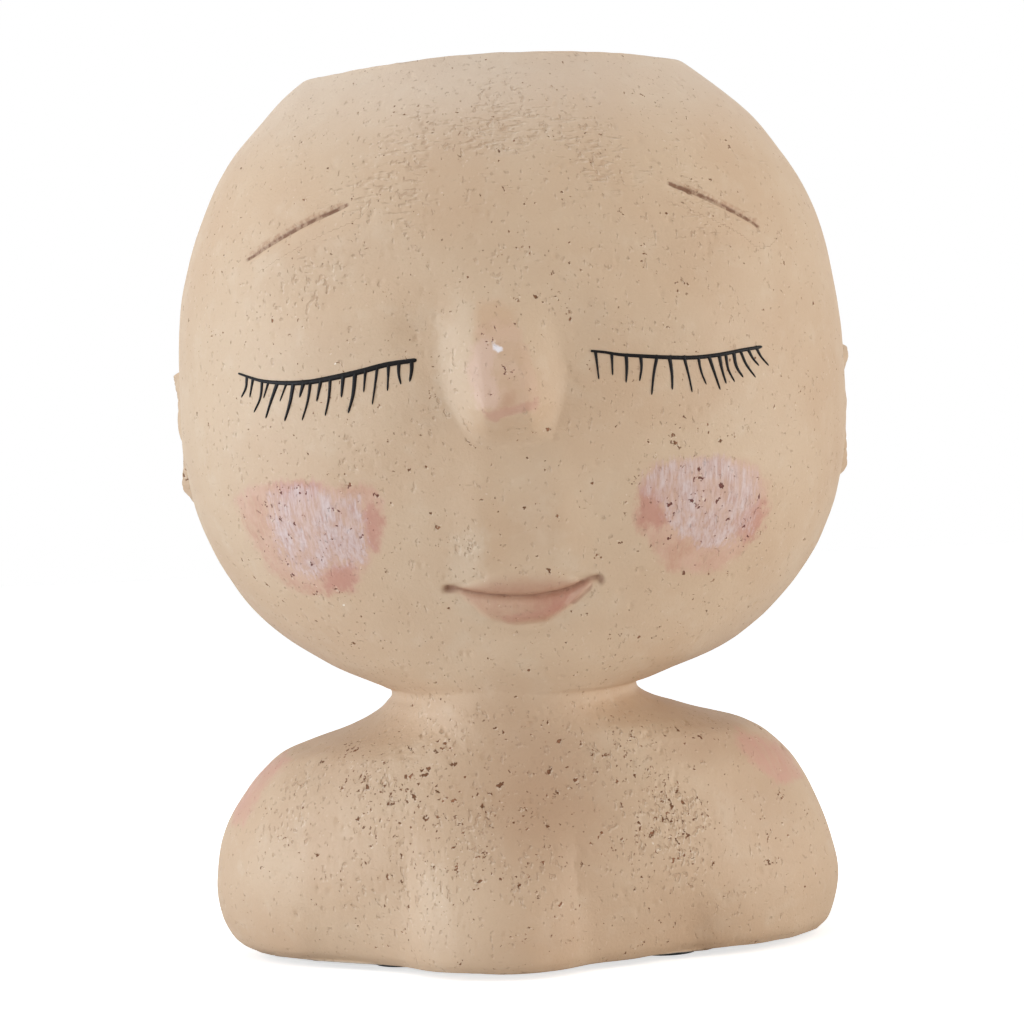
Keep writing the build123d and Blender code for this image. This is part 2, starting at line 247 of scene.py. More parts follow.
def make_camera():
    data = bpy.data.cameras.new("camera")
    data.sensor_width = sensor_width
    data.lens = sensor_width * focal_pixels / image_side
    data.clip_start = 0.01
    camera = placed("camera", data)
    turn = Matrix((camera_right, camera_up, -camera_forward)).transposed().to_4x4()
    camera.matrix_world = Matrix.Translation(eye) @ turn
    bpy.context.scene.camera = camera


# Casting: rows of its outline, then the grid


def sized_row(row, sizes, level, front, back):
    return [level, *[share * size for share, size in zip(row[1:4], sizes)], row[4] * sizes[0], front, back]


def head_row(row, sizes):
    return sized_row(row, sizes, crease_level + row[0] * head_height, head_roundness, head_roundness)


def bust_row(row, sizes, low):
    rounded = row[0] ** 3
    front = chest_roundness + (head_roundness - chest_roundness) * rounded
    back = spine_roundness + (head_roundness - spine_roundness) * rounded
    return sized_row(row, sizes, low + row[0] * (crease_level - low), front, back)


def round_row(level, radius):
    return [level, radius, radius, radius, 0.0, 2.0, 2.0]


def smooth_curve(corners, knots, places):
    """Places along a smooth curve through the corners, whose knots are how far along it they lie."""
    slopes = np.gradient(corners, knots, axis=0)
    span = np.clip(np.searchsorted(knots, places, side="right") - 1, 0, len(knots) - 2)
    length = (knots[span + 1] - knots[span])[:, None]
    t = (places - knots[span])[:, None] / length
    leave, arrive = slopes[span] * length, slopes[span + 1] * length
    bend = (2 * t**3 - 3 * t**2 + 1) * corners[span] + (3 * t**2 - 2 * t**3) * corners[span + 1]
    return bend + (t**3 - 2 * t**2 + t) * leave + (t**3 - t**2) * arrive


def threaded(rows, step, fine_step=None):
    """Rows on a smooth curve through the given ones, evenly spaced but finer at the face."""
    rows = np.array(rows)
    knots = running_sum(np.hypot(np.diff(rows[:, 0]), np.diff(rows[:, 1])))
    fine = np.linspace(0.0, knots[-1], 4000)
    level = np.interp(fine, knots, rows[:, 0])
    spacing = np.where((level > face_levels[0]) & (level < face_levels[1]), fine_step or step, step)
    travelled = running_sum(np.diff(fine) / spacing[1:])
    places = np.interp(np.linspace(0.0, travelled[-1], max(2, int(travelled[-1]) + 1)), travelled, fine)
    return smooth_curve(rows, knots, places)


def straight(rows, step):
    """Rows along straight runs between the given ones, which keep their corners."""
    rows = np.array(rows)
    made = []
    for start, end in zip(rows, rows[1:]):
        count = max(1, int(np.abs(end - start)[:4].max() / step))
        made.extend(start + (end - start) * index / count for index in range(count))
    return np.array(made + [rows[-1]])


def casting_rows():
    """All rows: up the outside, over the rim, down the inside, through the drain and out below."""
    neck = [crease_level, *neck_sizes, neck_lean, head_roundness, head_roundness]
    passage = [crease_level, *passage_sizes, neck_lean, head_roundness, head_roundness]
    inner_head = [size - wall for size in head_sizes]
    inner_bust = [size - wall for size in bust_sizes]
    outside = threaded(
        [bust_row(row, bust_sizes, base_level) for row in bust_shares]
        + [neck]
        + [head_row(row, head_sizes) for row in head_shares],
        row_step,
        face_row_step,
    )
    rim = straight(
        [head_row(row, head_sizes) for row in rim_outer_shares]
        + [head_row(row, inner_head) for row in rim_inner_shares],
        rim_step,
    )
    inside = threaded(
        [head_row(row, inner_head) for row in head_cavity_shares]
        + [passage]
        + [bust_row(row, inner_bust, floor_level) for row in bust_cavity_shares],
        inside_step,
    )
    floor_edge = bust_row(bust_cavity_shares[-1], inner_bust, floor_level)
    floor_edge[1:4] = [size - floor_margin for size in floor_edge[1:4]]
    base_edge = [base_level, *[size * base_share for size in bust_sizes], base_lean, chest_roundness, spine_roundness]
    drain_corners = [
        (floor_level, drain_radius + rounding),
        (floor_level - rounding, drain_radius),
        (recess_level + rounding, drain_radius),
        (recess_level, drain_radius + rounding),
        (recess_level, recess_radius - rounding),
        (recess_level - rounding, recess_radius),
        (base_level + rounding, recess_radius),
        (base_level, recess_radius + rounding),
    ]
    drain = straight([floor_edge, *[round_row(*corner) for corner in drain_corners], base_edge], drain_step)
    return len(outside), np.vstack([outside, rim, inside, drain])


def column_turns():
    """Angles round the axis, closer together in front of the planter than behind it."""
    front = np.linspace(-pi, 0.0, front_columns, endpoint=False)
    back = np.linspace(0.0, pi, back_columns, endpoint=False)
    turns = np.concatenate([front, back])
    wrapped = np.concatenate([turns[-overlap:] - 2 * pi, turns, turns[:overlap] + 2 * pi])
    return blurred(wrapped, np.hanning(overlap + 1)[1:-1])[overlap:-overlap]


def grid_points(rows, turns):
    """Places in millimetres of every row at every angle."""
    level, half, front, back, lean, front_power, back_power = (rows[:, i : i + 1] for i in range(7))
    across, along = np.cos(turns)[None, :], np.sin(turns)[None, :]
    behind = along > 0
    depth = np.where(behind, back, front)
    power = np.where(behind, back_power, front_power)
    blunt = np.clip((2.0 - power) * 8.0, 0.0, 1.0) * tip_rounding * np.abs(along) ** 8 / depth
    sideways = np.sqrt((across / half) ** 2 + blunt**2)
    reach = (sideways**power + np.abs(along / depth) ** power) ** (-1.0 / power)
    return np.stack([lean + reach * across, reach * along, level + 0.0 * reach], axis=-1)


def grid_normals(points):
    round_axis = np.roll(points, -1, axis=1) - np.roll(points, 1, axis=1)
    up_profile = np.roll(points, -1, axis=0) - np.roll(points, 1, axis=0)
    normals = np.cross(round_axis, up_profile)
    return normals / np.maximum(np.linalg.norm(normals, axis=-1, keepdims=True), 1e-9)


def grid_faces(row_count, column_count):
    """Quads that join the grid round the axis and from its last row back to its first."""
    corner = np.arange(row_count * column_count).reshape(row_count, column_count)
    beside = np.roll(corner, -1, axis=1)
    return np.stack(
        [corner, beside, np.roll(beside, -1, axis=0), np.roll(corner, -1, axis=0)], axis=-1
    ).reshape(-1, 4)


outside_count, rows = casting_rows()
turns = column_turns()
plain = grid_points(rows, turns)
faces = grid_faces(*plain.shape[:2])
plain_tree = BVHTree.FromPolygons(
    (plain[:outside_count].reshape(-1, 3) * MM).tolist(),
    [face for face in faces.tolist() if max(face) < outside_count * plain.shape[1]],
)


def on_plain(pixel):
    """Where a pixel of the photograph falls on the plain casting, in millimetres."""
    hit = plain_tree.ray_cast(eye, pixel_ray(pixel))[0]
    return np.array(hit) / MM


def flat_corners(line):
    """A line of pixels as it falls on the plain casting, seen from the front, in millimetres."""
    return np.array([on_plain(pixel)[[0, 2]] for pixel in line])


def line_distance(points, line):
    """Distance from each place to a line on the face, seen from the front, and the share along it."""
    best = np.full(points.shape[:-1], 1e9)
    along = np.zeros(points.shape[:-1])
    flat = points[..., [0, 2]]
    corners = flat_corners(line)
    lengths = np.linalg.norm(np.diff(corners, axis=0), axis=1)
    starts = running_sum(lengths)
    for index, (start, end) in enumerate(zip(corners, corners[1:])):
        run = end - start
        part = np.clip(((flat - start) @ run) / (run @ run), 0.0, 1.0)
        away = np.linalg.norm(flat - start - part[..., None] * run, axis=-1)
        nearer = away < best
        best = np.where(nearer, away, best)
        along = np.where(nearer, (starts[index] + part * lengths[index]) / starts[-1], along)
    return best, along


# Face: features as pixels of the photograph and heights in millimetres. Far from the mouth or a
# brow, its distance field stays at one value.
far_values = {"mouth_gap": 5.0, "brow_over": 4.0}
mouth_line = [
    (446, 589.5), (455, 589), (472, 592), (490, 593.5), (508, 594), (533, 593.9), (557, 590.9), (573, 586.7),
    (581, 582.6), (591, 579.2), (599, 578.5),
]
lower_lip_line = [
    (446, 589.5), (458, 594), (473.6, 606.5), (490.6, 618.8), (514.8, 625), (545.1, 621.8), (563.3, 610.5),
    (580, 597.5), (590, 587.5), (599, 578.5),
]
upper_lip_line = [
    (446, 589.5), (462, 586), (476, 580.8), (490.6, 572), (520.9, 568.5), (548.8, 568.5), (563.3, 573.5),
    (579, 579.5), (590, 578.4), (599, 578.5),
]
left_brow_line = [
    (244, 262.5), (262, 249.5), (280, 237.5), (299, 226.5), (318, 217.5), (336, 209.5), (351, 202.5),
]
right_brow_line = [
    (665, 181), (680, 186.5), (695, 192), (709, 198), (721, 204), (738, 212.5), (752, 221.5), (761, 230),
]


def nose(points):
    """Forward rise of the nose: a broad flat top, wide flanks and a blunt end that curves under."""
    x, z = points[..., 0], points[..., 2]
    low, high = 122.3, 148.0
    up = (z - low) / (high - low)
    away = np.abs(x - (-1.0 - 2.0 * up))
    half_top = np.clip(6.2 - 2.0 * up, 3.2, 6.4)
    flank_reach = 3.4 + 5.6 * smooth(117.0, 133.0, z)
    across = 1.0 - smooth(half_top - 1.8, half_top + flank_reach, away)
    foot = smooth(116.6, 125.2 + 1.5 * smooth(3.0, 8.0, away), z)
    fall = (1.0 - smooth(121.0, 158.0, z)) ** 0.9
    lobes = 0.5 * bell(x + 4.4, 3.2) * bell(z - 124.5, 3.0) + 0.4 * bell(x - 3.4, 2.8) * bell(z - 126.0, 3.0)
    return 7.4 * across * foot * fall + lobes


# Soft forms: rise in millimetres, centre and radii. Those of the face have a twin on its other side,
# and those of the middle also say out to what share of their radii they stay at their full rise.
face_forms = [
    (-1.2, (31, 156), (24, 10)), (0.8, (38, 143), (22, 10)), (0.9, (42, 101), (23, 19)), (-0.9, (17, 143), (9, 13)),
]
face_form_shifts = (-1.5, -1.5, -2.0, -2.0)
middle_forms = [
    (1.3, (0.4, 99), (18, 23), 0.35), (0.8, (0.8, 71), (16, 9), 0.0), (-0.7, (0.8, 77.5), (13, 3.6), 0.0),
]
bust_forms = [
    (-2.2, (3.0, 43.0), (24, 17)), (0.9, (-34.0, 34.0), (22, 20)), (0.9, (36.0, 36.0), (22, 20)),
    (-0.8, (-47.0, 46.0), (12, 9)),
]


def rim_drop(x, z):
    """How much lower the hand-cut rim is away from its highest place, fading in below it."""
    return np.interp(x, rim_places, rim_drops) * smooth(*rim_fade, z)


def prow_depth(x):
    """How far the base's front edge stands out of the plain bust, on a smooth curve through its table."""
    places = np.linspace(-90.0, 90.0, 361)
    return np.interp(x, places, blurred(np.interp(places, prow_places, prow_depths), np.hanning(15)))


def patch(points, centre, radii, inner=0.0):
    """1 in the middle of an oval on the face, 0 outside it."""
    away = np.hypot((points[..., 0] - centre[0]) / radii[0], (points[..., 2] - centre[1]) / radii[1])
    return 1.0 - smooth(inner, 1.0, away)


def lips(points):
    """Outward rise of the lips, the depth inside their outlines and the distance to the line between them."""
    x, z = points[..., 0], points[..., 2]
    edges = []
    for line in (lower_lip_line, mouth_line, upper_lip_line):
        edges.append(np.interp(x, *flat_corners(line).T))
    low, middle, high = edges
    left, right = (on_plain(mouth_line[end])[0] for end in (0, -1))
    along = (x - left) / (right - left)
    inside = smooth(0.0, 0.12, along) * smooth(0.0, 0.10, 1.0 - along)
    below = np.clip((middle - z) / np.maximum(middle - low, 0.05), 0.0, 1.0)
    above = np.clip((z - middle) / np.maximum(high - middle, 0.05), 0.0, 1.0)
    lower = np.where(z <= middle, np.sin(pi * below**0.8), 0.0).clip(0) * inside
    upper = np.where(z > middle, np.sin(pi * above**0.5), 0.0).clip(0) * inside
    reach = np.minimum(middle - low, 7.0) / 7.0
    gap, part = line_distance(points, mouth_line)
    corner = bell(part, 0.045) + 0.8 * bell(1.0 - part, 0.04)
    shelf = bell(gap, 1.7) * inside * 0.35
    groove = bell(gap, 0.62) * (0.55 + 0.75 * corner) + shelf
    fold, _ = line_distance(points, [(566, 606), (574, 598), (582, 590), (588, 584)])
    rise = 1.35 * lower**0.75 * reach + 0.75 * upper**0.8 - groove + 0.35 * bell(fold, 0.6)
    rise -= 0.34 * bell(z - low + 1.2, 1.5) * inside * reach
    over = np.clip((z - middle) / np.maximum(high - middle, 0.05), -1.0, 2.0)
    fields = {
        "upper_lip": inside * (z > middle) * (1.0 - smooth(0.25, 1.05, over)),
        "lower_lip": inside * (z <= middle) * smooth(-1.2, 1.8, z - low),
        "lip_side": along,
        "mouth_gap": np.minimum(gap, far_values["mouth_gap"]),
    }
    return rise, fields


def brow(points, line):
    """Depth of a scored eyebrow, the distance above its line and the share along it."""
    gap, part = line_distance(points, line)
    over = np.sign(points[..., 2] - np.interp(points[..., 0], *flat_corners(line).T))
    ends = smooth(0.0, 0.12, part) * smooth(0.0, 0.12, 1.0 - part)
    crumble = lattice_noise(points, 1.5, 5) + 0.7 * lattice_noise(points, 0.8, 6)
    rise = -0.55 * bell(gap, 0.50) + (0.16 + 0.14 * crumble) * bell(gap * over - 0.95, 0.45)
    return rise * ends, np.clip(gap * over, -far_values["brow_over"], far_values["brow_over"]), part


# Ears: how far the middle lies behind the axis and above the floor, how much its line leans back
# with height, the half width and the reach up and down
ear_place = (13.0, 124.0)
ear_lean = 0.16
ear_half_width, ear_up, ear_down = 10.5, 15.5, 18.5


def ear(points, side):
    """Sideways rise of an ear: a rim round a hollow, a ridge inside it and a lobe."""
    y, z = points[..., 1], points[..., 2]
    up = z - ear_place[1]
    back = (y - ear_place[0]) - ear_lean * up
    width = np.where(up > -4, ear_half_width, np.clip(ear_half_width + 0.40 * (up + 4), 5.0, ear_half_width))
    away = np.hypot(back / width, up / np.where(up > 0, ear_up, ear_down))
    body = 1.0 - smooth(0.84, 1.04, away)
    turn = np.arctan2(up, -back)
    open_front = 1.0 - 0.85 * bell(turn - 0.1, 0.75)
    rim = bell(away - 0.80, 0.14) * open_front
    ridge = bell(np.hypot((back - 0.5) * 1.25, up - 0.5) / 6.4 - 1.0, 0.22) * smooth(-3.0, 2.5, back)
    hollow = bell(np.hypot(back + 1.2, (up + 1.5) * 0.75), 4.0)
    lobe = bell(np.hypot(back + 1.2, (up + 14.2) * 0.8), 3.8)
    flap = bell(np.hypot(back + 7.0, (up + 3.0) * 0.8), 2.3)
    waves = 0.35 * np.sin(up * 0.52 + 0.6) * body
    rise = 1.5 * body + 1.5 * rim * body + 1.1 * ridge * body - 2.1 * hollow + 0.9 * lobe + 0.9 * flap + waves
    rise *= (1.0 - 0.4 * smooth(1.0, 12.0, -up)) * (0.8 if side > 0 else 0.95)
    return rise * (points[..., 0] * side > 40)


# How far the ears stand out of the head's outline, by height above the floor
ear_edges = {
    -1: [
        (108.4, 0), (108.8, 0.6), (109.3, 1.5), (110.3, 1.7), (111.7, 1.5), (113.1, 1.2), (115.8, 0.5), (118.5, 0.2),
        (120.3, 0), (122, 0.25), (123.8, 0.6), (126.4, 0.85), (128.2, 0.55), (132.5, 0.6), (133.8, 1.0), (136.5, 1.2),
        (138.2, 0.8), (138.9, 0),
    ],
    1: [
        (107.3, 0), (107.9, 0.7), (108.4, 1.15), (109.5, 1.2), (113, 0.75), (115.7, 0.4), (118.4, 0), (121.4, 0),
        (124.6, 0.4), (127.3, 0), (131.1, 0), (132.2, 0.4), (133.3, 0.95), (135.7, 1.65), (136.8, 1.3), (137.4, 0.8),
        (138.4, 0),
    ],
}


def fitted_ear(points, side):
    """The ear's rise, scaled at each height so that its edge stands out of the head's outline as wanted."""
    rise = ear(points, side)
    reach = side * points[..., 0]
    farness = 1.0 + points[..., 1] * MM / view_distance
    levels, stands = np.array(ear_edges[side]).T
    edge = (reach / farness).max(axis=1) + np.interp(points[:, 0, 2], levels, stands)
    wanted = (edge[:, None] * farness - reach) / np.maximum(rise, 0.5)
    share = np.clip(np.where(rise > 0.5, wanted, 2.0).min(axis=1), 0.3, 2.0)
    return rise * blurred(np.pad(share, 3, mode="edge"), np.hanning(9)[1:-1], "valid")[:, None]


# Pores: how many, their radii in millimetres before they are skewed to small ones, their depths
# as shares of the radius, how far they are drawn out, and how many columns they reach sideways
pore_count = 3400
pore_radii = (0.40, 1.05)
pore_depth_shares = (0.12, 0.34)
pore_stretches = (0.75, 1.35)
pore_columns = 5
# Pores and roughness: clusters as pixel, radius in pixels and how dense they are
pore_clusters = [
    ((400, 812), 62, 0.55), ((345, 790), 40, 0.4), ((268, 835), 22, 0.5), ((440, 745), 36, 0.35),
    ((470, 870), 60, 0.3), ((680, 815), 46, 0.55), ((635, 775), 40, 0.35), ((560, 860), 60, 0.22),
    ((770, 862), 22, 0.3), ((600, 735), 40, 0.25), ((350, 745), 30, 0.4), ((520, 790), 50, 0.25),
    ((705, 205), 38, 0.3), ((545, 295), 26, 0.25), ((270, 322), 24, 0.3), ((218, 262), 24, 0.35),
    ((692, 440), 26, 0.3), ((748, 525), 18, 0.3), ((692, 486), 34, 0.3), ((660, 540), 16, 0.4),
    ((290, 487), 20, 0.45), ((350, 488), 15, 0.45), ((282, 512), 18, 0.45), ((296, 542), 24, 0.35),
    ((236, 508), 12, 0.5), ((224, 466), 10, 0.5), ((505, 370), 9, 1.2), ((496, 344), 8, 1.0),
    ((465, 548), 18, 0.2),
]
pit_places = [
    (418, 136), (499, 150), (381, 181), (562, 192), (563, 199), (575, 217), (617, 210), (474, 228), (555, 231),
    (530, 253), (536, 252), (467, 277), (535, 297), (540, 295), (518, 300), (557, 300), (554, 311), (497, 306),
    (225, 450), (226, 479), (245, 519), (247, 524), (282, 491), (296, 487), (301, 487), (308, 491), (277, 507),
    (284, 506), (262, 512), (275, 521), (339, 510), (337, 524), (327, 533), (326, 545), (292, 537), (290, 549),
    (287, 559), (312, 562), (293, 574), (305, 575), (350, 485), (342, 491), (392, 505), (390, 517), (362, 568),
    (266, 551), (353, 643), (266, 584), (547, 429), (491, 467), (459, 487), (495, 497), (525, 507), (438, 527),
    (494, 555), (548, 568), (561, 572), (479, 603), (483, 615), (449, 608), (512, 665), (529, 667), (494, 665),
    (680, 428), (672, 435), (673, 443), (679, 447), (656, 456), (708, 432), (719, 441), (762, 454), (751, 460),
    (650, 469), (683, 466), (698, 469), (693, 478), (700, 477), (719, 486), (733, 475), (757, 477), (681, 501),
    (672, 502), (668, 505), (673, 513), (695, 502), (697, 506), (703, 498), (716, 499), (737, 509), (750, 495),
    (756, 499), (627, 496), (627, 503), (648, 499), (743, 527), (740, 540), (726, 538), (651, 545), (656, 538),
    (682, 537), (645, 531), (619, 543), (684, 573), (700, 574), (620, 635), (637, 637), (567, 642), (550, 631),
    (264, 818), (255, 831), (271, 835), (279, 838), (312, 823), (301, 831), (299, 785), (340, 760), (354, 751),
    (369, 790), (346, 787), (386, 787), (414, 796), (436, 790), (429, 797), (446, 799), (453, 802), (358, 819),
    (378, 826), (383, 823), (393, 804), (427, 819), (434, 864), (446, 869), (386, 878), (393, 885), (401, 882),
    (316, 855), (299, 853), (330, 854), (304, 871), (412, 749), (419, 760), (411, 776), (426, 775), (437, 742),
    (445, 744), (450, 741), (391, 744), (366, 733), (431, 764), (454, 764), (465, 776), (462, 821), (456, 818),
    (455, 846), (482, 804), (491, 793), (500, 782), (499, 788), (509, 771), (514, 771), (523, 809), (479, 879),
    (491, 872), (511, 886), (519, 884), (528, 876), (534, 881), (462, 899), (561, 903), (570, 910), (594, 913),
    (547, 826), (550, 847), (560, 741), (546, 748), (540, 752), (570, 752), (550, 770), (555, 764), (568, 766),
    (576, 779), (570, 786), (594, 754), (606, 755), (617, 766), (647, 731), (663, 735), (677, 732), (700, 738),
    (712, 729), (644, 779), (635, 775), (675, 790), (661, 803), (670, 808), (662, 819), (670, 821), (679, 822),
    (691, 819), (682, 832), (686, 835), (669, 838), (697, 843), (701, 844), (678, 845), (658, 848), (684, 855),
    (679, 855), (673, 862), (702, 861), (692, 864), (732, 852), (703, 880), (689, 885), (710, 807), (745, 789),
    (769, 861), (779, 859), (788, 836), (792, 814), (621, 804), (641, 826), (652, 832),
]
rough_clusters = [
    ((500, 130), 130, 0.34), ((400, 160), 90, 0.26), ((610, 160), 90, 0.28), ((480, 190), 90, 0.20),
    ((400, 235), 60, 0.28), ((560, 240), 60, 0.20), ((320, 275), 40, 0.40), ((275, 310), 40, 0.35),
    ((640, 320), 40, 0.30), ((700, 205), 60, 0.36), ((450, 375), 28, 0.90), ((430, 440), 46, 0.28),
    ((462, 552), 26, 0.60), ((345, 460), 40, 0.40), ((230, 430), 60, 0.28), ((400, 810), 95, 0.60),
    ((290, 800), 60, 0.36), ((440, 745), 60, 0.34), ((350, 870), 70, 0.22), ((670, 800), 75, 0.56),
    ((590, 740), 60, 0.20), ((500, 860), 80, 0.34), ((700, 870), 70, 0.26), ((775, 850), 40, 0.30),
    ((690, 440), 50, 0.20), ((700, 500), 50, 0.20), ((300, 530), 60, 0.20), ((420, 610), 50, 0.16),
    ((300, 630), 50, 0.16),
]
# Clusters behind, at random places: how many, how dense and their radii in millimetres
back_cluster_count = 26
back_cluster_weights = (0.3, 0.8)
back_cluster_radii = (7, 15)
# Relief in millimetres: wide lumps, and wrinkles, dents and specks where the casting is rough. The
# wrinkles lie above these heights and the dents below them.
lump_relief = (0.32, 0.15)
wrinkle_relief, dent_relief, speck_relief = 0.16, 0.18, 0.14
wrinkle_levels = (150.0, 168.0)
pit_radius, pit_weight = 0.56, 1.7
cavity_relief = 0.25
# Darker patches: painted shadow of the head on the middle of the chest and at the right of the neck, darker patches
# on both sides of the bust and a darker band along the base's bottom edge. Centre and radii in millimetres, and
# strength
shade_places = [
    ((2.0, 38.0), (30, 36), 1.0), ((41.0, 48.5), (18, 9), 0.9), ((56.0, 36.5), (20, 16), 0.45),
    ((-43.0, 46.0), (20, 12), 0.45), ((-52.0, 35.0), (18, 14), 0.2), ((0.0, 8.0), (60, 10), 0.3),
]

# Brushed paint, and patches of painted highlight and shadow: closed lines of pixels, and how far from them their
# distance is followed
outline_reach = 20.0
paint_outlines = {
    "cheek": [
        [(235, 500), (246, 487), (270, 482), (304, 480), (321, 482), (338, 489), (360, 482), (374, 487),
            (384, 500), (384, 526), (380, 548), (373, 557), (363, 573), (353, 590), (331, 592), (309, 596),
            (288, 587), (270, 570), (259, 550), (249, 539), (243, 516)],
        [(638, 503), (641, 477), (651, 465), (675, 459), (703, 458), (726, 456), (754, 465), (767, 482),
            (769, 506), (760, 530), (750, 541), (737, 557), (720, 569), (696, 573), (668, 571), (656, 554),
            (648, 540), (634, 530), (632, 516)],
    ],
    "bloom": [
        [(270, 496), (282, 488), (317, 486), (334, 499), (358, 498), (363, 519), (367, 543), (366, 560),
            (352, 566), (330, 567), (314, 577), (297, 572), (285, 557), (276, 536), (268, 516)],
        [(642, 480), (656, 467), (672, 461), (703, 459), (722, 457), (745, 468), (757, 470), (760, 488),
            (754, 509), (749, 530), (735, 537), (720, 545), (703, 549), (686, 536), (672, 528), (666, 510),
            (652, 500), (644, 490)],
    ],
    "flush": [
        [(362, 511), (372, 507), (381, 519), (381, 538), (374, 549), (366, 545), (363, 530)],
        [(326, 569), (350, 560), (358, 574), (352, 589), (333, 592), (321, 582)],
        [(276, 487), (300, 482), (322, 483), (325, 492), (300, 497), (280, 498)],
        [(639, 500), (646, 482), (660, 488), (665, 500), (668, 524), (655, 530), (640, 520)],
        [(736, 522), (748, 507), (764, 500), (762, 525), (750, 540), (738, 536)],
    ],
    "nose": [
        [(474, 340), (477, 325), (492, 318), (513, 322), (522, 336), (529, 350), (536, 375), (539, 400),
            (536, 412), (513, 413), (497, 421), (483, 418), (480, 405), (471, 384), (468, 368), (472, 354)],
    ],
    "nose_pale": [
        [(474, 342), (488, 338), (493, 352), (492, 372), (499, 388), (498, 402), (490, 410), (481, 408),
            (474, 394), (469, 374), (471, 356)],
    ],
    "nose_band": [
        [(481, 407), (489, 412), (502, 408), (513, 406), (526, 404), (537, 398), (538, 409), (526, 412),
            (513, 413), (506, 418), (496, 422), (485, 419)],
    ],
    "nose_spot": [
        [(505, 394), (511, 390), (516, 397), (516, 405), (507, 408), (500, 405)],
    ],
    "nose_top": [
        [(478, 302), (497, 300), (512, 310), (520, 334), (500, 340), (478, 338), (475, 318)],
    ],
    "lip_red": [
        [(503, 617), (530, 613), (552, 605), (566, 597), (573, 590), (573, 600), (558, 610), (535, 619),
            (508, 623)],
    ],
    "wedge": [
        [(564, 603), (570, 594), (580, 588), (592, 581), (592, 585), (582, 592), (574, 599), (567, 605)],
    ],
    # Painted shadow along the step at the lower lip's right end
    "painted_step_shadow": [
        [(570, 603), (578, 597), (588, 588), (593, 583), (591, 590), (583, 597), (575, 604)],
    ],
    "chip": [
        [(492, 342), (497, 346), (501, 347), (503, 350), (498, 352), (494, 349)],
    ],
    "shoulder": [
        [(737, 727), (748, 734), (760, 736), (775, 740), (788, 752), (798, 768), (802, 777), (790, 782),
            (775, 784), (765, 771), (752, 763), (743, 752), (737, 742)],
        [(287, 751), (290, 760), (275, 775), (262, 790), (250, 812), (242, 826), (231, 824), (234, 806),
            (258, 768)],
    ],
    # Painted highlights on the lit left flank of the nose, on both edges of the groove under it and below both
    # corners of the mouth
    "painted_highlight": [
        [(437, 332), (452, 318), (457, 300), (471, 303), (474, 330), (469, 380), (474, 424), (456, 424),
            (441, 404), (434, 368)],
        [(449, 566), (452, 535), (470, 527), (485, 534), (488, 552), (481, 578), (462, 586), (450, 583)],
        [(553, 553), (570, 549), (583, 568), (570, 574), (556, 566)],
        [(452, 594), (462, 597), (477, 612), (486, 624), (470, 620), (456, 608)],
        [(597, 586), (595, 600), (582, 611), (568, 619), (573, 606), (586, 595)],
    ],
}


def cluster_density(points, clusters, least):
    """How dense a feature is at each place, from the clusters in front and a few more behind."""
    density = np.full(points.shape[:-1], least)
    for pixel, radius, weight in clusters:
        reach = radius * view_distance / focal_pixels / MM
        away = np.linalg.norm(points - on_plain(pixel), axis=-1)
        density += weight * bell(away, reach)
    flat = points.reshape(-1, 3)
    behind = flat[(flat[:, 1] > 5)]
    for centre in behind[random.integers(0, len(behind), back_cluster_count)]:
        away = np.linalg.norm(points - centre, axis=-1)
        density += random.uniform(*back_cluster_weights) * bell(away, random.uniform(*back_cluster_radii))
    return density


def pore_depths(points, density, count):
    """How deep pores are pressed in at each place, with more of them where they are dense."""
    area = np.linalg.norm(
        np.cross(np.roll(points, -1, axis=1) - points, np.roll(points, -1, axis=0) - points), axis=-1
    )
    weight = (density**1.3 * area)[1:-1].reshape(-1)
    picked = random.choice(len(weight), size=count, p=weight / weight.sum())
    row_count, column_count = points.shape[:2]
    depth = np.zeros(points.shape[:2])
    for place in picked:
        row, column = place // column_count + 1, place % column_count
        radius = random.uniform(*pore_radii) ** 1.3
        deep = random.uniform(*pore_depth_shares) * radius
        reach_rows = int(radius / row_step) + 2
        near_rows = np.arange(max(0, row - reach_rows), min(row_count, row + reach_rows + 1))
        near_columns = np.arange(column - pore_columns, column + pore_columns + 1) % column_count
        window = np.ix_(near_rows, near_columns)
        offset = points[window] - points[row, column]
        stretch = random.uniform(*pore_stretches)
        away = np.sqrt((offset[..., 0] * stretch) ** 2 + offset[..., 1] ** 2 + (offset[..., 2] / stretch) ** 2)
        depth[window] = np.maximum(depth[window], deep * (1.0 - smooth(0.25, 1.0, away / radius)))
    return depth


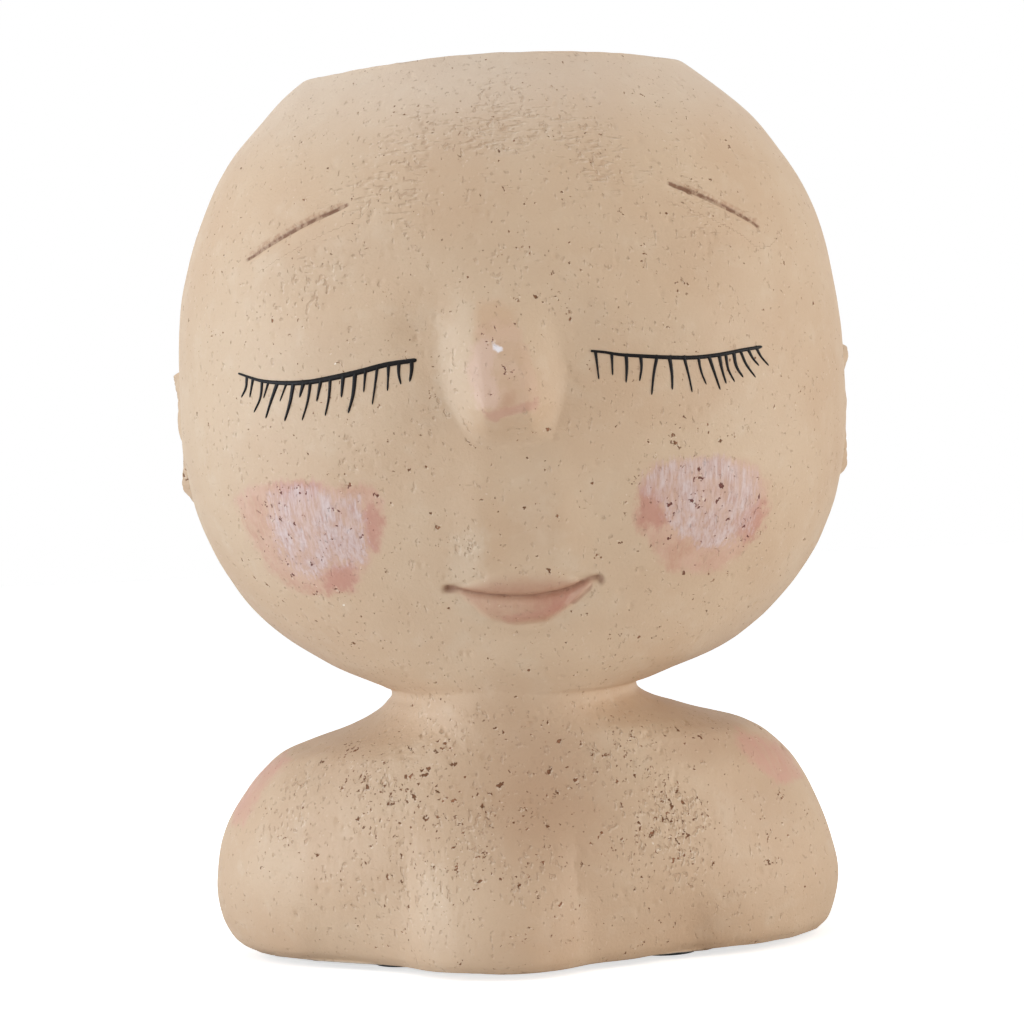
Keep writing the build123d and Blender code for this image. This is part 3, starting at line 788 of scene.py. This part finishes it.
def sculpted():
    """The casting's places in metres, with the fields that its paint follows."""
    points = plain.copy()
    outer = points[:outside_count]
    normals = grid_normals(points)[:outside_count]
    facing = smooth(0.15, 0.5, -normals[..., 1])[..., None]
    x, z = outer[..., 0], outer[..., 2]
    rise = np.zeros(x.shape)
    for side in (-1, 1):
        for (height, (across, level), radii), shift in zip(face_forms, face_form_shifts):
            rise += height * patch(outer, (side * across + shift, level), radii)
    for height, centre, radii, inner in middle_forms:
        rise += height * patch(outer, centre, radii, inner)
    away = np.abs(x - 0.3)
    span = smooth(90.0, 95.0, z) * (1.0 - smooth(110.0, 121.0, z))
    rise += (-0.75 * (1.0 - smooth(1.5, 7.2, away)) + 0.25 * bell(away - 9.0, 3.0)) * span
    lip_rise, lip_fields = lips(outer)
    rise += lip_rise
    brow_over, brow_along = np.full(x.shape, far_values["brow_over"]), np.zeros(x.shape)
    for line in (left_brow_line, right_brow_line):
        cut, over, part = brow(outer, line)
        rise += cut
        brow_along = np.where(np.abs(over) < np.abs(brow_over), part, brow_along)
        brow_over = np.where(np.abs(over) < np.abs(brow_over), over, brow_over)
    rise += sum(height * patch(outer, centre, radii) for height, centre, radii in bust_forms)
    moved = outer + normals * facing * rise[..., None]
    moved[..., 1] -= nose(outer) * facing[..., 0]
    for side in (-1, 1):
        moved[..., 0] += side * fitted_ear(outer, side)
    front = outer[..., 1] < 0
    dip = np.abs(z - crease_level)
    fill = crease_slope * (np.sqrt(dip**2 + crease_radius**2) - dip) * (1.0 - smooth(9.0, 22.0, dip))
    moved[..., 1] -= fill * (1.0 - smooth(10.0, 28.0, np.abs(x))) * front
    prow = prow_depth(x)
    prow = np.where(prow > 0, prow * (1.0 - smooth(2.0, 44.0, z)), prow * (1.0 - smooth(3.0, 24.0, z)))
    moved[..., 1] -= prow * smooth(2.0, 12.0, -outer[..., 1])
    moved[..., 2] -= rim_drop(x, z)
    rough = cluster_density(outer, rough_clusters, 0.08)
    density = cluster_density(outer, pore_clusters, 0.05)
    for place in pit_places:
        density += pit_weight * bell(np.linalg.norm(outer - on_plain(place), axis=-1), pit_radius)
    lumps = lump_relief[0] * lattice_noise(outer, 17.0, 1) + lump_relief[1] * lattice_noise(outer, 7.0, 2)
    lying = smooth(*wrinkle_levels, z)
    wrinkles = lattice_noise(outer * (0.45, 0.45, 1.0), 1.7, 3) * lying
    leaning = np.stack([x * 1.2 + z * 0.35, outer[..., 1], z * 0.55], axis=-1)
    dents = lattice_noise(leaning, 1.8, 9) * (1.0 - lying)
    specks = smooth(0.30, 0.75, lattice_noise(outer, 1.3, 4))
    flat = 0.35 + 0.65 * smooth(-0.3, 0.35, lattice_noise(outer, 11.0, 11))
    marks = wrinkle_relief * wrinkles + dent_relief * dents + speck_relief * specks
    lumps -= marks * np.clip(rough, 0.0, 1.3) * flat
    normals = grid_normals(np.concatenate([moved, points[outside_count:]]))[:outside_count]
    pores = pore_depths(moved, 0.5 * np.minimum(density, 1.0) + 0.5 * rough + 0.02, pore_count)
    moved += normals * (lumps - pores)[..., None]
    low, high = np.array(cad_box[0]) / MM + 0.05, np.array(cad_box[1]) / MM - 0.05
    points[:outside_count] = np.clip(moved, low, high)
    hidden = points[outside_count:]
    hidden[..., 2] -= rim_drop(hidden[..., 0], hidden[..., 2])
    hidden[..., 2] -= cavity_relief * np.abs(lattice_noise(hidden, 5.0, 8)) * (hidden[..., 2] > crease_level)
    front = facing[..., 0] > 0.5
    fields = {
        **{name: np.where(front, field, far_values.get(name, 0.0)) for name, field in lip_fields.items()},
        "brow_over": np.where(facing[..., 0] > 0.3, brow_over, far_values["brow_over"]),
        "brow_along": brow_along,
        "pores": density,
        "rough": rough * flat,
        # Painted shadow of the head on the chest and neck, and the other darker patches
        "painted_shade": sum(weight * patch(outer, centre, radii) for centre, radii, weight in shade_places)
        * smooth(5.0, 20.0, -outer[..., 1]),
    }
    return points * MM, fields


def image_place(points):
    """The photograph's pixel of each place in metres."""
    away = points - np.array(eye)
    depth = away @ np.array(camera_forward)
    across = away @ np.array(camera_right) / depth * focal_pixels + image_side / 2
    down = image_side / 2 - away @ np.array(camera_up) / depth * focal_pixels
    return across, down


def outline_depth(across, down, outlines):
    """How many pixels inside the nearest of some closed lines each place is, less than 0 outside them."""
    best = np.full(across.shape, -outline_reach)
    for outline in outlines:
        corners = np.array(outline, float)
        nearest = np.full(across.shape, 1e9)
        inside = np.zeros(across.shape, bool)
        for start, end in zip(corners, np.roll(corners, -1, axis=0)):
            run = end - start
            part = np.clip(((across - start[0]) * run[0] + (down - start[1]) * run[1]) / (run @ run), 0.0, 1.0)
            away = np.hypot(across - start[0] - part * run[0], down - start[1] - part * run[1])
            nearest = np.minimum(nearest, away)
            if run[1]:
                beside = across < start[0] + (down - start[1]) * run[0] / run[1]
                inside ^= ((start[1] > down) != (end[1] > down)) & beside
        best = np.maximum(best, np.where(inside, nearest, -nearest))
    return np.clip(best, -outline_reach, outline_reach)


def paint_fields(points):
    """How many pixels inside the brushed patches, and those of painted highlight and shadow, each place is."""
    across, down = image_place(points)
    front = points[..., 1] < 0

    def blob(centre, radii):
        away = np.hypot((across - centre[0]) / radii[0], (down - centre[1]) / radii[1])
        return (1.0 - away) * min(radii)

    depths = {f"{name}_in": outline_depth(across, down, outlines) for name, outlines in paint_outlines.items()}
    depths["corner_in"] = np.maximum(blob((450.5, 589), (6.5, 4.0)), blob((601.5, 581), (3.5, 4.5)))
    return {name: np.where(front, depth.clip(-outline_reach), -outline_reach) for name, depth in depths.items()}


def make_casting():
    points, fields = sculpted()
    row_count, column_count = points.shape[:2]
    mesh = bpy.data.meshes.new("head_and_bust")
    mesh.from_pydata(points.reshape(-1, 3).tolist(), [], faces.tolist())
    mesh.polygons.foreach_set("use_smooth", np.ones(len(faces), bool))
    fields.update(paint_fields(points[:outside_count]))
    columns = {}
    for name, field in fields.items():
        nowhere = -outline_reach if name.endswith("_in") else far_values.get(name, 0.0)
        columns[name] = np.full((row_count, column_count), nowhere)
        columns[name][:outside_count] = field
    columns["inside"] = np.zeros((row_count, column_count))
    columns["inside"][outside_count + rim_row_count :] = 1.0
    for name, values in columns.items():
        mesh.attributes.new(name, "FLOAT", "POINT").data.foreach_set("value", values.reshape(-1))
    row = np.repeat(np.arange(row_count), column_count)
    column = np.tile(np.arange(column_count), row_count)
    corners = np.stack([column, row, column + 1, row, column + 1, row + 1, column, row + 1], axis=-1)
    uv = corners.reshape(-1, 2) / (column_count, row_count)
    mesh.uv_layers.new(name="OFBake").data.foreach_set("uv", uv.reshape(-1))
    piece = placed("head_and_bust", mesh)
    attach(piece, "planter")
    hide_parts("casting", "cheek_paint_left", "cheek_paint_right", "nose_paint", "lip_paint")
    return piece


# Materials


class Nodes:
    """The nodes of a material or a world, with short calls for the kinds used here."""

    def __init__(self, owner, shader="Principled BSDF"):
        owner.use_nodes = True
        self.owner = owner
        self.tree = owner.node_tree
        self.shader = self.tree.nodes[shader]

    def feed(self, node, socket, value):
        """Links a node's input to another's output, or sets it to a value."""
        if isinstance(value, bpy.types.NodeSocket):
            self.tree.links.new(value, node.inputs[socket])
        else:
            node.inputs[socket].default_value = value

    def add(self, kind, inputs=None, **values):
        node = self.tree.nodes.new(kind)
        for key, value in values.items():
            setattr(node, key, value)
        for socket, value in (inputs or {}).items():
            self.feed(node, socket, value)
        return node

    def set(self, **inputs):
        """Feeds the shader's inputs, whose names' spaces are written as underscores."""
        for name, value in inputs.items():
            self.feed(self.shader, name.replace("_", " "), value)

    def math(self, operation, *values):
        return self.add("ShaderNodeMath", dict(enumerate(values)), operation=operation).outputs[0]

    def linear(self, value, slope, start):
        return self.math("MULTIPLY_ADD", value, slope, start)

    def product(self, first, second):
        return self.math("MULTIPLY", first, second)

    def total(self, first, second):
        return self.math("ADD", first, second)

    def difference(self, first, second):
        return self.math("SUBTRACT", first, second)

    def larger(self, first, second):
        return self.math("MAXIMUM", first, second)

    def mix(self, factor, first, second):
        return self.add("ShaderNodeMix", {0: factor, 6: first, 7: second}, data_type="RGBA").outputs[2]

    def attribute(self, name):
        return self.add("ShaderNodeAttribute", attribute_name=name).outputs["Fac"]

    def place(self):
        return self.add("ShaderNodeTexCoord").outputs["Object"]

    def noise(self, size, detail=3.0, vector=None, roughness=0.55):
        """Noise from 0 to 1 with lumps about size metres wide."""
        inputs = {"Scale": 1.0 / size, "Detail": detail, "Roughness": roughness, "Vector": vector or self.place()}
        return self.add("ShaderNodeTexNoise", inputs).outputs["Fac"]

    def stretched(self, scale):
        """Object coordinates with each axis scaled, so that noise becomes streaks."""
        return self.add("ShaderNodeMapping", {"Vector": self.place(), "Scale": scale}).outputs[0]

    def moved(self, vector, offset):
        """The same coordinates a little to one side."""
        return self.add("ShaderNodeVectorMath", {0: vector, 1: offset}, operation="ADD").outputs[0]

    def ramp(self, value, low, high):
        """0 at low and 1 at high, with an even curve between them."""
        inputs = {"Value": value, "From Min": low, "From Max": high}
        return self.add("ShaderNodeMapRange", inputs, interpolation_type="SMOOTHSTEP").outputs["Result"]

    def warped(self, amount, size):
        """Object coordinates pushed about by noise, so that round cells become ragged."""
        noise = self.add("ShaderNodeTexNoise", {"Scale": 1.0 / size, "Vector": self.place()})
        inputs = {0: noise.outputs["Color"], 1: (amount, amount, amount), 2: self.place()}
        return self.add("ShaderNodeVectorMath", inputs, operation="MULTIPLY_ADD").outputs[0]

    def pits(self, cell, radius, density, vector):
        """1 in small ragged pits, of which there are more where density is high."""
        cells = self.add("ShaderNodeTexVoronoi", {"Scale": 1.0 / cell, "Vector": vector}, feature="F1")
        split = self.add("ShaderNodeSeparateColor", {0: cells.outputs["Color"]})
        wide = self.linear(split.outputs[1], radius / cell * 0.8, radius / cell * 0.6)
        chosen = self.math("LESS_THAN", split.outputs[0], density)
        return self.product(self.ramp(cells.outputs["Distance"], wide, self.product(wide, 0.45)), chosen)

    def bump(self, height, distance):
        node = self.add("ShaderNodeBump", {"Strength": 1.0, "Distance": distance, "Height": height})
        self.set(Normal=node.outputs["Normal"])


def material(name):
    return Nodes(bpy.data.materials.new(name))


def srgb(red, green, blue):
    """A colour as it is read off a screen, made linear."""
    values = [value / 255 for value in (red, green, blue)]
    return (*[v / 12.92 if v <= 0.04045 else ((v + 0.055) / 1.055) ** 2.4 for v in values], 1.0)


def stone_material():
    """Painted cast stone: even tan, brown in its pores, with pink brushed on and worn through, and with painted shade
    and highlights on its relief, on lit slopes and under its head.
    """
    make = material("painted_cast_stone")
    share, linear, ramp = make.product, make.linear, make.ramp
    light_side = (-0.00032, 0.0, 0.00036)
    ragged_edge = linear(make.noise(0.0030, 5.0, None, 0.72), 2.0, -1.0)
    streaks = make.noise(0.00075, 3.0, make.stretched((1.0, 1.0, 0.13)), 0.65)
    broad_streaks = make.noise(0.0030, 2.0, make.stretched((1.0, 1.0, 0.25)), 0.6)
    streak_edge = linear(streaks, 2.0, -1.0)

    def inside(name, softness, wobble=8.0, streaked=0.0):
        """1 inside a patch of paint and 0 outside it, with a soft and ragged edge, in pixels."""
        depth = linear(ragged_edge, wobble, make.attribute(name))
        if streaked:
            depth = linear(streak_edge, streaked, depth)
        return ramp(depth, -softness, softness)

    def mottled(size, detail, low, high, first, second):
        """Two tones in patches about size metres wide."""
        return make.mix(ramp(make.noise(size, detail), low, high), srgb(*first), srgb(*second))

    height = make.add("ShaderNodeSeparateXYZ", {0: make.place()}).outputs["Z"]
    skin = mottled(0.030, 3.0, 0.35, 0.68, (207, 178, 148), (202, 170, 139))
    # Over the mottled tan: pale patches at random, the painted shadow of the head on the bust, painted highlights on
    # lit slopes of the nose and round the mouth, and a painted highlight towards the top of the head.
    tints_and_painted_light = [
        (share(ramp(make.noise(0.006, 4.0), 0.5, 0.75), 0.25), (217, 196, 171)),
        (share(make.attribute("painted_shade"), 0.75), (183, 148, 118)),
        # painted highlights on lit slopes of the nose and round the mouth
        (share(inside("painted_highlight_in", 9.0, 11.0), 0.25), (216, 197, 173)),
        # painted highlight: paler towards the top of the head
        (share(ramp(height, 0.176, 0.202), 0.42), (226, 206, 186)),
    ]
    for cover, tone in tints_and_painted_light:
        skin = make.mix(cover, skin, srgb(*tone))

    spread = linear(ramp(make.attribute("rough"), 0.10, 0.95), 0.96, 0.04)
    relief_strength = linear(spread, 0.24, 0.17)
    lying = ramp(height, 0.146, 0.166)
    dent_limit = linear(share(spread, linear(lying, -0.45, 1.0)), 0.160, 0.300)
    wrinkle_limit = linear(share(spread, lying), 0.230, 0.230)

    def relief(offset):
        """1 in dents and wrinkles, seen from a place a little to the side."""
        dents = make.noise(0.00125, 2.0, make.moved(make.stretched((1.1, 1.0, 0.72)), offset), 0.55)
        wrinkles = make.noise(0.00150, 2.5, make.moved(make.stretched((0.50, 0.50, 1.55)), offset), 0.6)
        dents = ramp(dents, make.total(dent_limit, 0.050), make.difference(dent_limit, 0.040))
        high, low = make.total(wrinkle_limit, 0.110), make.difference(wrinkle_limit, 0.080)
        return make.larger(dents, ramp(wrinkles, high, low))

    # Painted light on the relief: the wall of each dent away from light_side is painted in shade, and its edge
    # towards light_side is painted as a highlight. The dents are also a little darker inside.
    hollows = relief((0.0, 0.0, 0.0))
    beside = relief(light_side)
    painted_dent_shade = make.larger(make.difference(hollows, beside), 0.0)
    painted_dent_highlight = make.larger(make.difference(beside, hollows), 0.0)
    skin = make.mix(share(hollows, 0.10), skin, srgb(188, 150, 118))
    skin = make.mix(share(painted_dent_shade, relief_strength), skin, srgb(164, 124, 92))
    skin = make.mix(share(painted_dent_highlight, relief_strength), skin, srgb(232, 212, 188))

    worn = linear(ramp(streaks, 0.30, 0.60), 0.34, 0.50)
    salmon = mottled(0.006, 3.0, 0.36, 0.66, (207, 165, 143), (196, 148, 124))
    flush = make.mix(broad_streaks, srgb(197, 142, 124), srgb(182, 122, 104))
    bloom = make.mix(ramp(streaks, 0.30, 0.66), srgb(190, 150, 138), srgb(214, 195, 191))
    thin = linear(ramp(make.noise(0.0050, 3.0), 0.34, 0.52), 0.45, 0.55)
    brushed = share(linear(ramp(broad_streaks, 0.34, 0.60), 0.40, 0.44), thin)
    nose_tone = mottled(0.0040, 4.0, 0.36, 0.62, (201, 164, 134), (210, 174, 148))
    lower_lip = make.mix(ramp(make.attribute("lip_side"), 0.42, 0.72), srgb(191, 147, 121), srgb(180, 122, 100))
    gap = linear(ragged_edge, 0.16, make.attribute("mouth_gap"))
    coats = [
        (inside("cheek_in", 5.0, 9.0, 3.0), worn, salmon),
        (inside("flush_in", 6.0, 14.0, 5.0), 0.70, flush),
        (inside("bloom_in", 7.0, 12.0, 8.0), brushed, bloom),
        (inside("nose_top_in", 7.0), 0.42, srgb(202, 160, 124)),
        (inside("nose_in", 3.5, 7.0), 0.62, nose_tone),
        (inside("nose_pale_in", 5.0, 9.0, 4.0), 0.66, srgb(217, 184, 164)),
        (inside("nose_spot_in", 6.0, 7.0), 0.62, srgb(186, 144, 114)),
        (inside("nose_band_in", 2.5, 8.0), 0.50, srgb(190, 138, 118)),
        (inside("shoulder_in", 5.0, 9.0, 3.0), linear(broad_streaks, 0.8, 0.22), srgb(204, 150, 132)),
        (make.attribute("upper_lip"), linear(ragged_edge, 0.35, 0.74), srgb(180, 132, 106)),
        (make.attribute("lower_lip"), linear(make.total(ragged_edge, streak_edge), 0.22, 0.76), lower_lip),
        (inside("lip_red_in", 3.5, 6.0, 2.0), 0.30, srgb(186, 122, 108)),
        (inside("wedge_in", 1.6, 1.5), 0.48, srgb(208, 172, 148)),
        # painted shadow along the step at the lower lip's right end
        (inside("painted_step_shadow_in", 1.4, 1.5), 0.50, srgb(150, 98, 78)),
        # The brown line of the mouth, with a wider band of painted shade along its crease, and darker at its corners.
        (ramp(gap, 1.5, 0.15), 0.28, srgb(158, 110, 84)),
        (ramp(gap, 0.60, 0.06), 0.60, srgb(138, 94, 68)),
        (inside("corner_in", 2.2, 2.0), 0.55, srgb(132, 88, 66)),
    ]

    over = linear(ragged_edge, 0.10, make.attribute("brow_over"))
    along = make.attribute("brow_along")
    tips = share(ramp(along, 0.0, 0.14), ramp(along, 1.0, 0.86))
    crumbs = share(ramp(make.noise(0.0009, 3.0), 0.40, 0.62), tips)
    tint = share(ramp(over, -0.1, 0.25), ramp(over, 1.55, 0.7))
    core = share(ramp(make.math("ABSOLUTE", over), 0.52, 0.18), ramp(tips, 0.0, 0.3))
    broken = linear(ramp(make.noise(0.0018, 3.0), 0.36, 0.56), 0.55, 0.38)
    coats += [(share(tint, crumbs), 0.55, srgb(176, 130, 98)), (core, broken, srgb(122, 80, 54))]

    density = make.attribute("pores")
    ragged = make.warped(0.0010, 0.0010)
    bunched = linear(make.noise(0.0035, 2.0), 0.55, -0.275)
    threshold = make.difference(linear(density, 0.145, 0.215), bunched)

    def depth(offset):
        return make.difference(make.noise(0.00098, 2.0, make.moved(ragged, offset), 0.6), threshold)

    level = depth((0.0, 0.0, 0.0))
    halo = ramp(level, 0.060, 0.004)
    holes = ramp(level, 0.022, -0.016)
    lit_edge = share(ramp(depth(light_side), 0.022, -0.016), make.difference(1.0, halo))
    tiny = make.pits(0.0011, 0.00019, linear(density, 0.30, 0.02), ragged)
    chips = make.pits(0.0130, 0.00036, 0.14, ragged)
    painted = make.larger(inside("cheek_in", 4.0), inside("nose_in", 4.0))
    hole_tone = mottled(0.0022, 2.0, 0.34, 0.58, (152, 100, 72), (104, 62, 40))
    coats += [
        (halo, 0.46, make.mix(painted, srgb(178, 134, 102), srgb(178, 112, 100))),
        (holes, 0.82, make.mix(painted, hole_tone, srgb(96, 50, 46))),
        (lit_edge, 0.42, srgb(230, 211, 188)),
        (tiny, 0.60, srgb(124, 84, 60)),
        (chips, 0.8, srgb(242, 232, 218)),
        (inside("chip_in", 1.4, 3.0), 0.92, srgb(243, 236, 238)),
    ]
    colour = skin
    for cover, strength, tone in coats:
        colour = make.mix(share(cover, strength), colour, tone)
    colour = make.mix(make.attribute("inside"), colour, srgb(200, 184, 164))
    make.set(Base_Color=colour, Roughness=linear(make.noise(0.004, 3.0), 0.16, 0.50))
    make.set(Specular_IOR_Level=linear(make.larger(halo, tiny), -0.40, 0.45))
    grain = share(make.noise(0.0007, 3.0, None, 0.6), 0.30)
    hollow = linear(holes, 0.70, linear(tiny, 0.35, share(hollows, 0.38)))
    make.bump(make.difference(grain, hollow), 0.00040)
    return make.owner


def enamel_material():
    """Thick black enamel, glossy with a little unevenness."""
    make = material("black_enamel")
    shade = make.mix(make.noise(0.002, 2.0), (0.005, 0.004, 0.004, 1.0), (0.011, 0.008, 0.008, 1.0))
    make.set(Base_Color=shade, Roughness=make.linear(make.noise(0.0015, 2.0), 0.2, 0.28), Specular_IOR_Level=0.14)
    make.bump(make.noise(0.0008, 2.0), 0.00010)
    return make.owner


def rubber_material(name, tone):
    """Moulded rubber with a fine grain and a dusting of bloom."""
    make = material(name)
    dusty = make.ramp(make.noise(0.004, 4.0), 0.45, 0.8)
    bloom = (tone * 2.6, tone * 2.5, tone * 2.4, 1.0)
    shade = make.mix(make.product(dusty, 0.5), (tone, tone, tone, 1.0), bloom)
    make.set(Base_Color=shade, Roughness=make.linear(dusty, 0.2, 0.6))
    make.bump(make.noise(0.0004, 3.0), 0.00005)
    return make.owner


# Eyelashes: lines of pixels, and the breadth of each lid's line in millimetres at its start and
# its end, with how much wider it is in its middle
left_lid_breadths = (0.50, 1.00, 0.55)
right_lid_breadths = (0.55, 0.80, 0.30)
left_lid = [
    (238.9, 373.5), (259.8, 380.4), (283.4, 383), (312, 381.7), (333, 377.8), (359, 372), (385.4, 364.9),
    (416.7, 360),
]
right_lid = [
    (590.8, 350.9), (603, 352), (616.9, 354.2), (643, 356.1), (669.2, 357.4), (695.4, 357.4), (721.5, 354.3),
    (742.4, 350.1), (762, 346.6),
]
left_strokes = [
    [(247, 379), (245, 388), (241.5, 397.4)], [(253.3, 380), (249.9, 397.4)],
    [(262.4, 382), (259.8, 398.7), (254.1, 412.3)], [(269, 383), (263.7, 398.2)],
    [(278.1, 384), (271.6, 401.3), (265.8, 418.3)], [(287.3, 384), (280, 401.3)],
    [(293.8, 384), (289.9, 404), (284.7, 421)], [(304.3, 383), (299.6, 397.4)],
    [(310.8, 383), (308.2, 401.3), (302.2, 420.2)], [(321.3, 381), (316.8, 401.3)],
    [(330.4, 380), (329.1, 398.7), (325.2, 415.7)], [(343.5, 376.5), (341.4, 397.4)],
    [(355.3, 374), (352.7, 396.1), (348.2, 413.1)], [(365.7, 371), (363.7, 392.2)],
    [(377.5, 368.6), (375.4, 388.2), (372.3, 404.5)], [(388.5, 366), (388.5, 380.4), (387.5, 390.9)],
    [(399, 363.4), (399.7, 375.2), (401, 384.3)], [(411.5, 361.6), (412.3, 370), (409.7, 381.7)],
]
right_strokes = [
    [(595.5, 354.3), (598.9, 379.1)], [(611.7, 355), (612.7, 375.2)],
    [(626.1, 356), (627.4, 367.3), (626.1, 382.5)], [(640.4, 357), (641.2, 367.3), (639.7, 380.9)],
    [(657.4, 357.4), (654, 372.6), (651.7, 394.8)], [(669.2, 358), (671.3, 375.2), (672.3, 389.6)],
    [(683.6, 358), (690.1, 380.4), (692.2, 392.2)], [(698, 358), (701.9, 372.6), (706.3, 384.3)],
    [(708.4, 357.4), (713.7, 372.6), (720.2, 389.6)], [(718.9, 356.3), (722.3, 370), (726.2, 383.5)],
    [(725.4, 355), (729.4, 370), (734.6, 381.7)], [(733.3, 353.7), (737.2, 367.3), (743.2, 377.3)],
    [(739.8, 352.1), (746.3, 364.7), (755.5, 377.3)], [(747.6, 351.1), (752.9, 359.5), (758.9, 365.5)],
    [(755.5, 349), (760.7, 356.9), (768.6, 365.5)],
]
# Strokes: breadths in millimetres, how these and the swell of the middle vary, how many pixels a
# stroke starts above the lid's points and wavers sideways, and the rings of its mesh
stroke_root, stroke_tip = 0.95, 0.42
stroke_thicknesses = (0.75, 1.25)
stroke_swells = (-0.12, 0.10)
stroke_start = 2.6
stroke_waver = 0.9
stroke_sides = 8
ring_spacing, fewest_rings = 1.6, 6
enamel_rise = 0.26


def stroke_rings(path, tree, root, tip, swell=0.0):
    """Rings of a flattened line of enamel that lies on the casting under a line of pixels."""
    corners = np.array(path, float)
    knots = running_sum(np.linalg.norm(np.diff(corners, axis=0), axis=1))
    count = max(fewest_rings, int(knots[-1] / ring_spacing))
    pixels = smooth_curve(corners, knots, np.linspace(0.0, knots[-1], count))
    hits = [tree.ray_cast(eye, pixel_ray(pixel)) for pixel in pixels]
    middle = [hit[0] for hit in hits]
    rings = []
    for index, (at, normal) in enumerate((hit[0], hit[1]) for hit in hits):
        ahead = middle[min(index + 1, count - 1)] - middle[max(index - 1, 0)]
        side = ahead.cross(normal).normalized()
        along = index / (count - 1)
        half = (root + (tip - root) * along + swell * sin(pi * along)) * MM / 2
        ends = min(1.0, 0.45 + 2.5 * min(along + (0.2 if swell else 0.0), 1 - along) * count / fewest_rings)
        rise = enamel_rise * MM * ends
        ring = []
        for step in range(stroke_sides):
            turn = 2 * pi * (step + 0.5) / stroke_sides
            ring.append(at + side * cos(turn) * half * ends + normal * sin(turn) * rise)
        rings.append(ring)
    return rings


def make_lashes(name, lid, lid_breadths, strokes, tree, material):
    vertices, sides = [], []
    lines = [(lid, *lid_breadths)]
    for stroke in strokes:
        thick = random.uniform(*stroke_thicknesses)
        (x, y), *rest = stroke
        wavy = [(rest_x + random.uniform(-stroke_waver, stroke_waver), rest_y) for rest_x, rest_y in rest[:-1]]
        rooted = [(x, y - stroke_start), *wavy, rest[-1]]
        lines.append((rooted, stroke_root * thick, stroke_tip * thick, random.uniform(*stroke_swells)))
    around = range(stroke_sides)
    for path, root, tip, swell in lines:
        rings = stroke_rings(path, tree, root, tip, swell)
        first = len(vertices)
        last = first + (len(rings) - 1) * stroke_sides
        for ring in rings:
            vertices.extend(ring)
        for start in range(first, last, stroke_sides):
            for step in around:
                a, b = start + step, start + (step + 1) % stroke_sides
                sides.append((a, a + stroke_sides, b + stroke_sides, b))
        sides += [tuple(first + step for step in around), tuple(last + step for step in reversed(around))]
    mesh = bpy.data.meshes.new(name)
    mesh.from_pydata(vertices, [], sides)
    mesh.polygons.foreach_set("use_smooth", [True] * len(sides))
    mesh.materials.append(material)
    piece = placed(name, mesh)
    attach(piece, "planter")
    return piece


# Light


world_strength = 0.33
floor_glow = 0.66
# Each light's place, what it is turned to, its size in metres, power in watts and tone
lights = {
    "left_box": ((-1.15, -0.16, 0.50), (0, 0, 0.10), (0.7, 0.8), 3.40, (0.87, 1.0, 1.12)),
    "right_box": ((1.10, -0.25, 0.34), (0, 0, 0.10), (0.8, 0.9), 2.85, (1.0, 0.97, 0.91)),
    "crown_box": ((-0.10, -0.12, 1.15), (0, 0, 0.10), (0.5, 0.5), 2.75, (0.88, 1.0, 1.12)),
    "low_left": ((-0.80, -0.25, 0.05), (0, 0, 0.08), (0.5, 0.08), 2.4, (0.86, 1.0, 1.16)),
    "low_right": ((0.80, -0.25, 0.05), (0, 0, 0.08), (0.5, 0.08), 2.1, (0.92, 0.98, 1.02)),
    "top_box": ((-0.35, -0.55, 1.10), (0, 0, 0.10), (0.7, 0.7), 1.7, (1.0, 1.0, 1.0)),
    "low_card": ((-0.15, -0.80, 0.04), (0, 0, 0.06), (1.6, 0.08), 0.9, (1.0, 0.95, 0.88)),
}


def area_light(name, place, target, size, power, tone):
    data = bpy.data.lights.new(name, "AREA")
    data.shape = "RECTANGLE"
    data.size, data.size_y = size
    data.energy = power
    data.color = tone
    light = placed(name, data)
    light.location = place
    light.rotation_euler = (Vector(target) - Vector(place)).to_track_quat("-Z", "Y").to_euler()


def make_stage():
    """A pale floor that shows white where no shadow falls on it, and a white world."""
    half = 2.5
    mesh = bpy.data.meshes.new("floor")
    mesh.from_pydata([(-half, -half, 0), (half, -half, 0), (half, half, 0), (-half, half, 0)], [], [(0, 1, 2, 3)])
    make = material("pale_floor")
    tone = make.mix(make.noise(0.4, 2.0), (0.84, 0.84, 0.84, 1), (0.88, 0.88, 0.88, 1))
    glow = make.product(make.add("ShaderNodeLightPath").outputs["Is Camera Ray"], floor_glow)
    make.set(Base_Color=tone, Roughness=0.9, Emission_Color=(1, 1, 1, 1), Emission_Strength=glow)
    mesh.materials.append(make.owner)
    floor = placed("floor", mesh)
    sky = Nodes(bpy.data.worlds.new("studio"), "Background")
    bpy.context.scene.world = sky.owner
    rays = sky.add("ShaderNodeLightPath").outputs
    seen = sky.larger(rays["Is Camera Ray"], rays["Is Glossy Ray"])
    strength = sky.add("ShaderNodeMapRange", {"Value": seen, "To Min": world_strength, "To Max": 1.0})
    sky.set(Color=(1, 1, 1, 1), Strength=strength.outputs["Result"])


make_camera()
make_stage()
for name, values in lights.items():
    area_light(name, *values)
bpy.context.scene.view_settings.view_transform = "Standard"

casting = make_casting()
casting.data.materials.append(stone_material())
carved = [vertex.co.copy() for vertex in casting.data.vertices]
carved_tree = BVHTree.FromPolygons(carved, faces.tolist())
enamel = enamel_material()
left = make_lashes("eyelashes_left", left_lid, left_lid_breadths, left_strokes, carved_tree, enamel)
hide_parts("lashes_left")
right = make_lashes("eyelashes_right", right_lid, right_lid_breadths, right_strokes, carved_tree, enamel)
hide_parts("lashes_right")

stopper_rubber = rubber_material("stopper_rubber", 0.022)
pad_rubber = rubber_material("pad_rubber", 0.035)
for name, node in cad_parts.items():
    if name == "drain_plug" or name.startswith("foot_pad"):
        node.data.materials.clear()
        node.data.materials.append(stopper_rubber if name == "drain_plug" else pad_rubber)
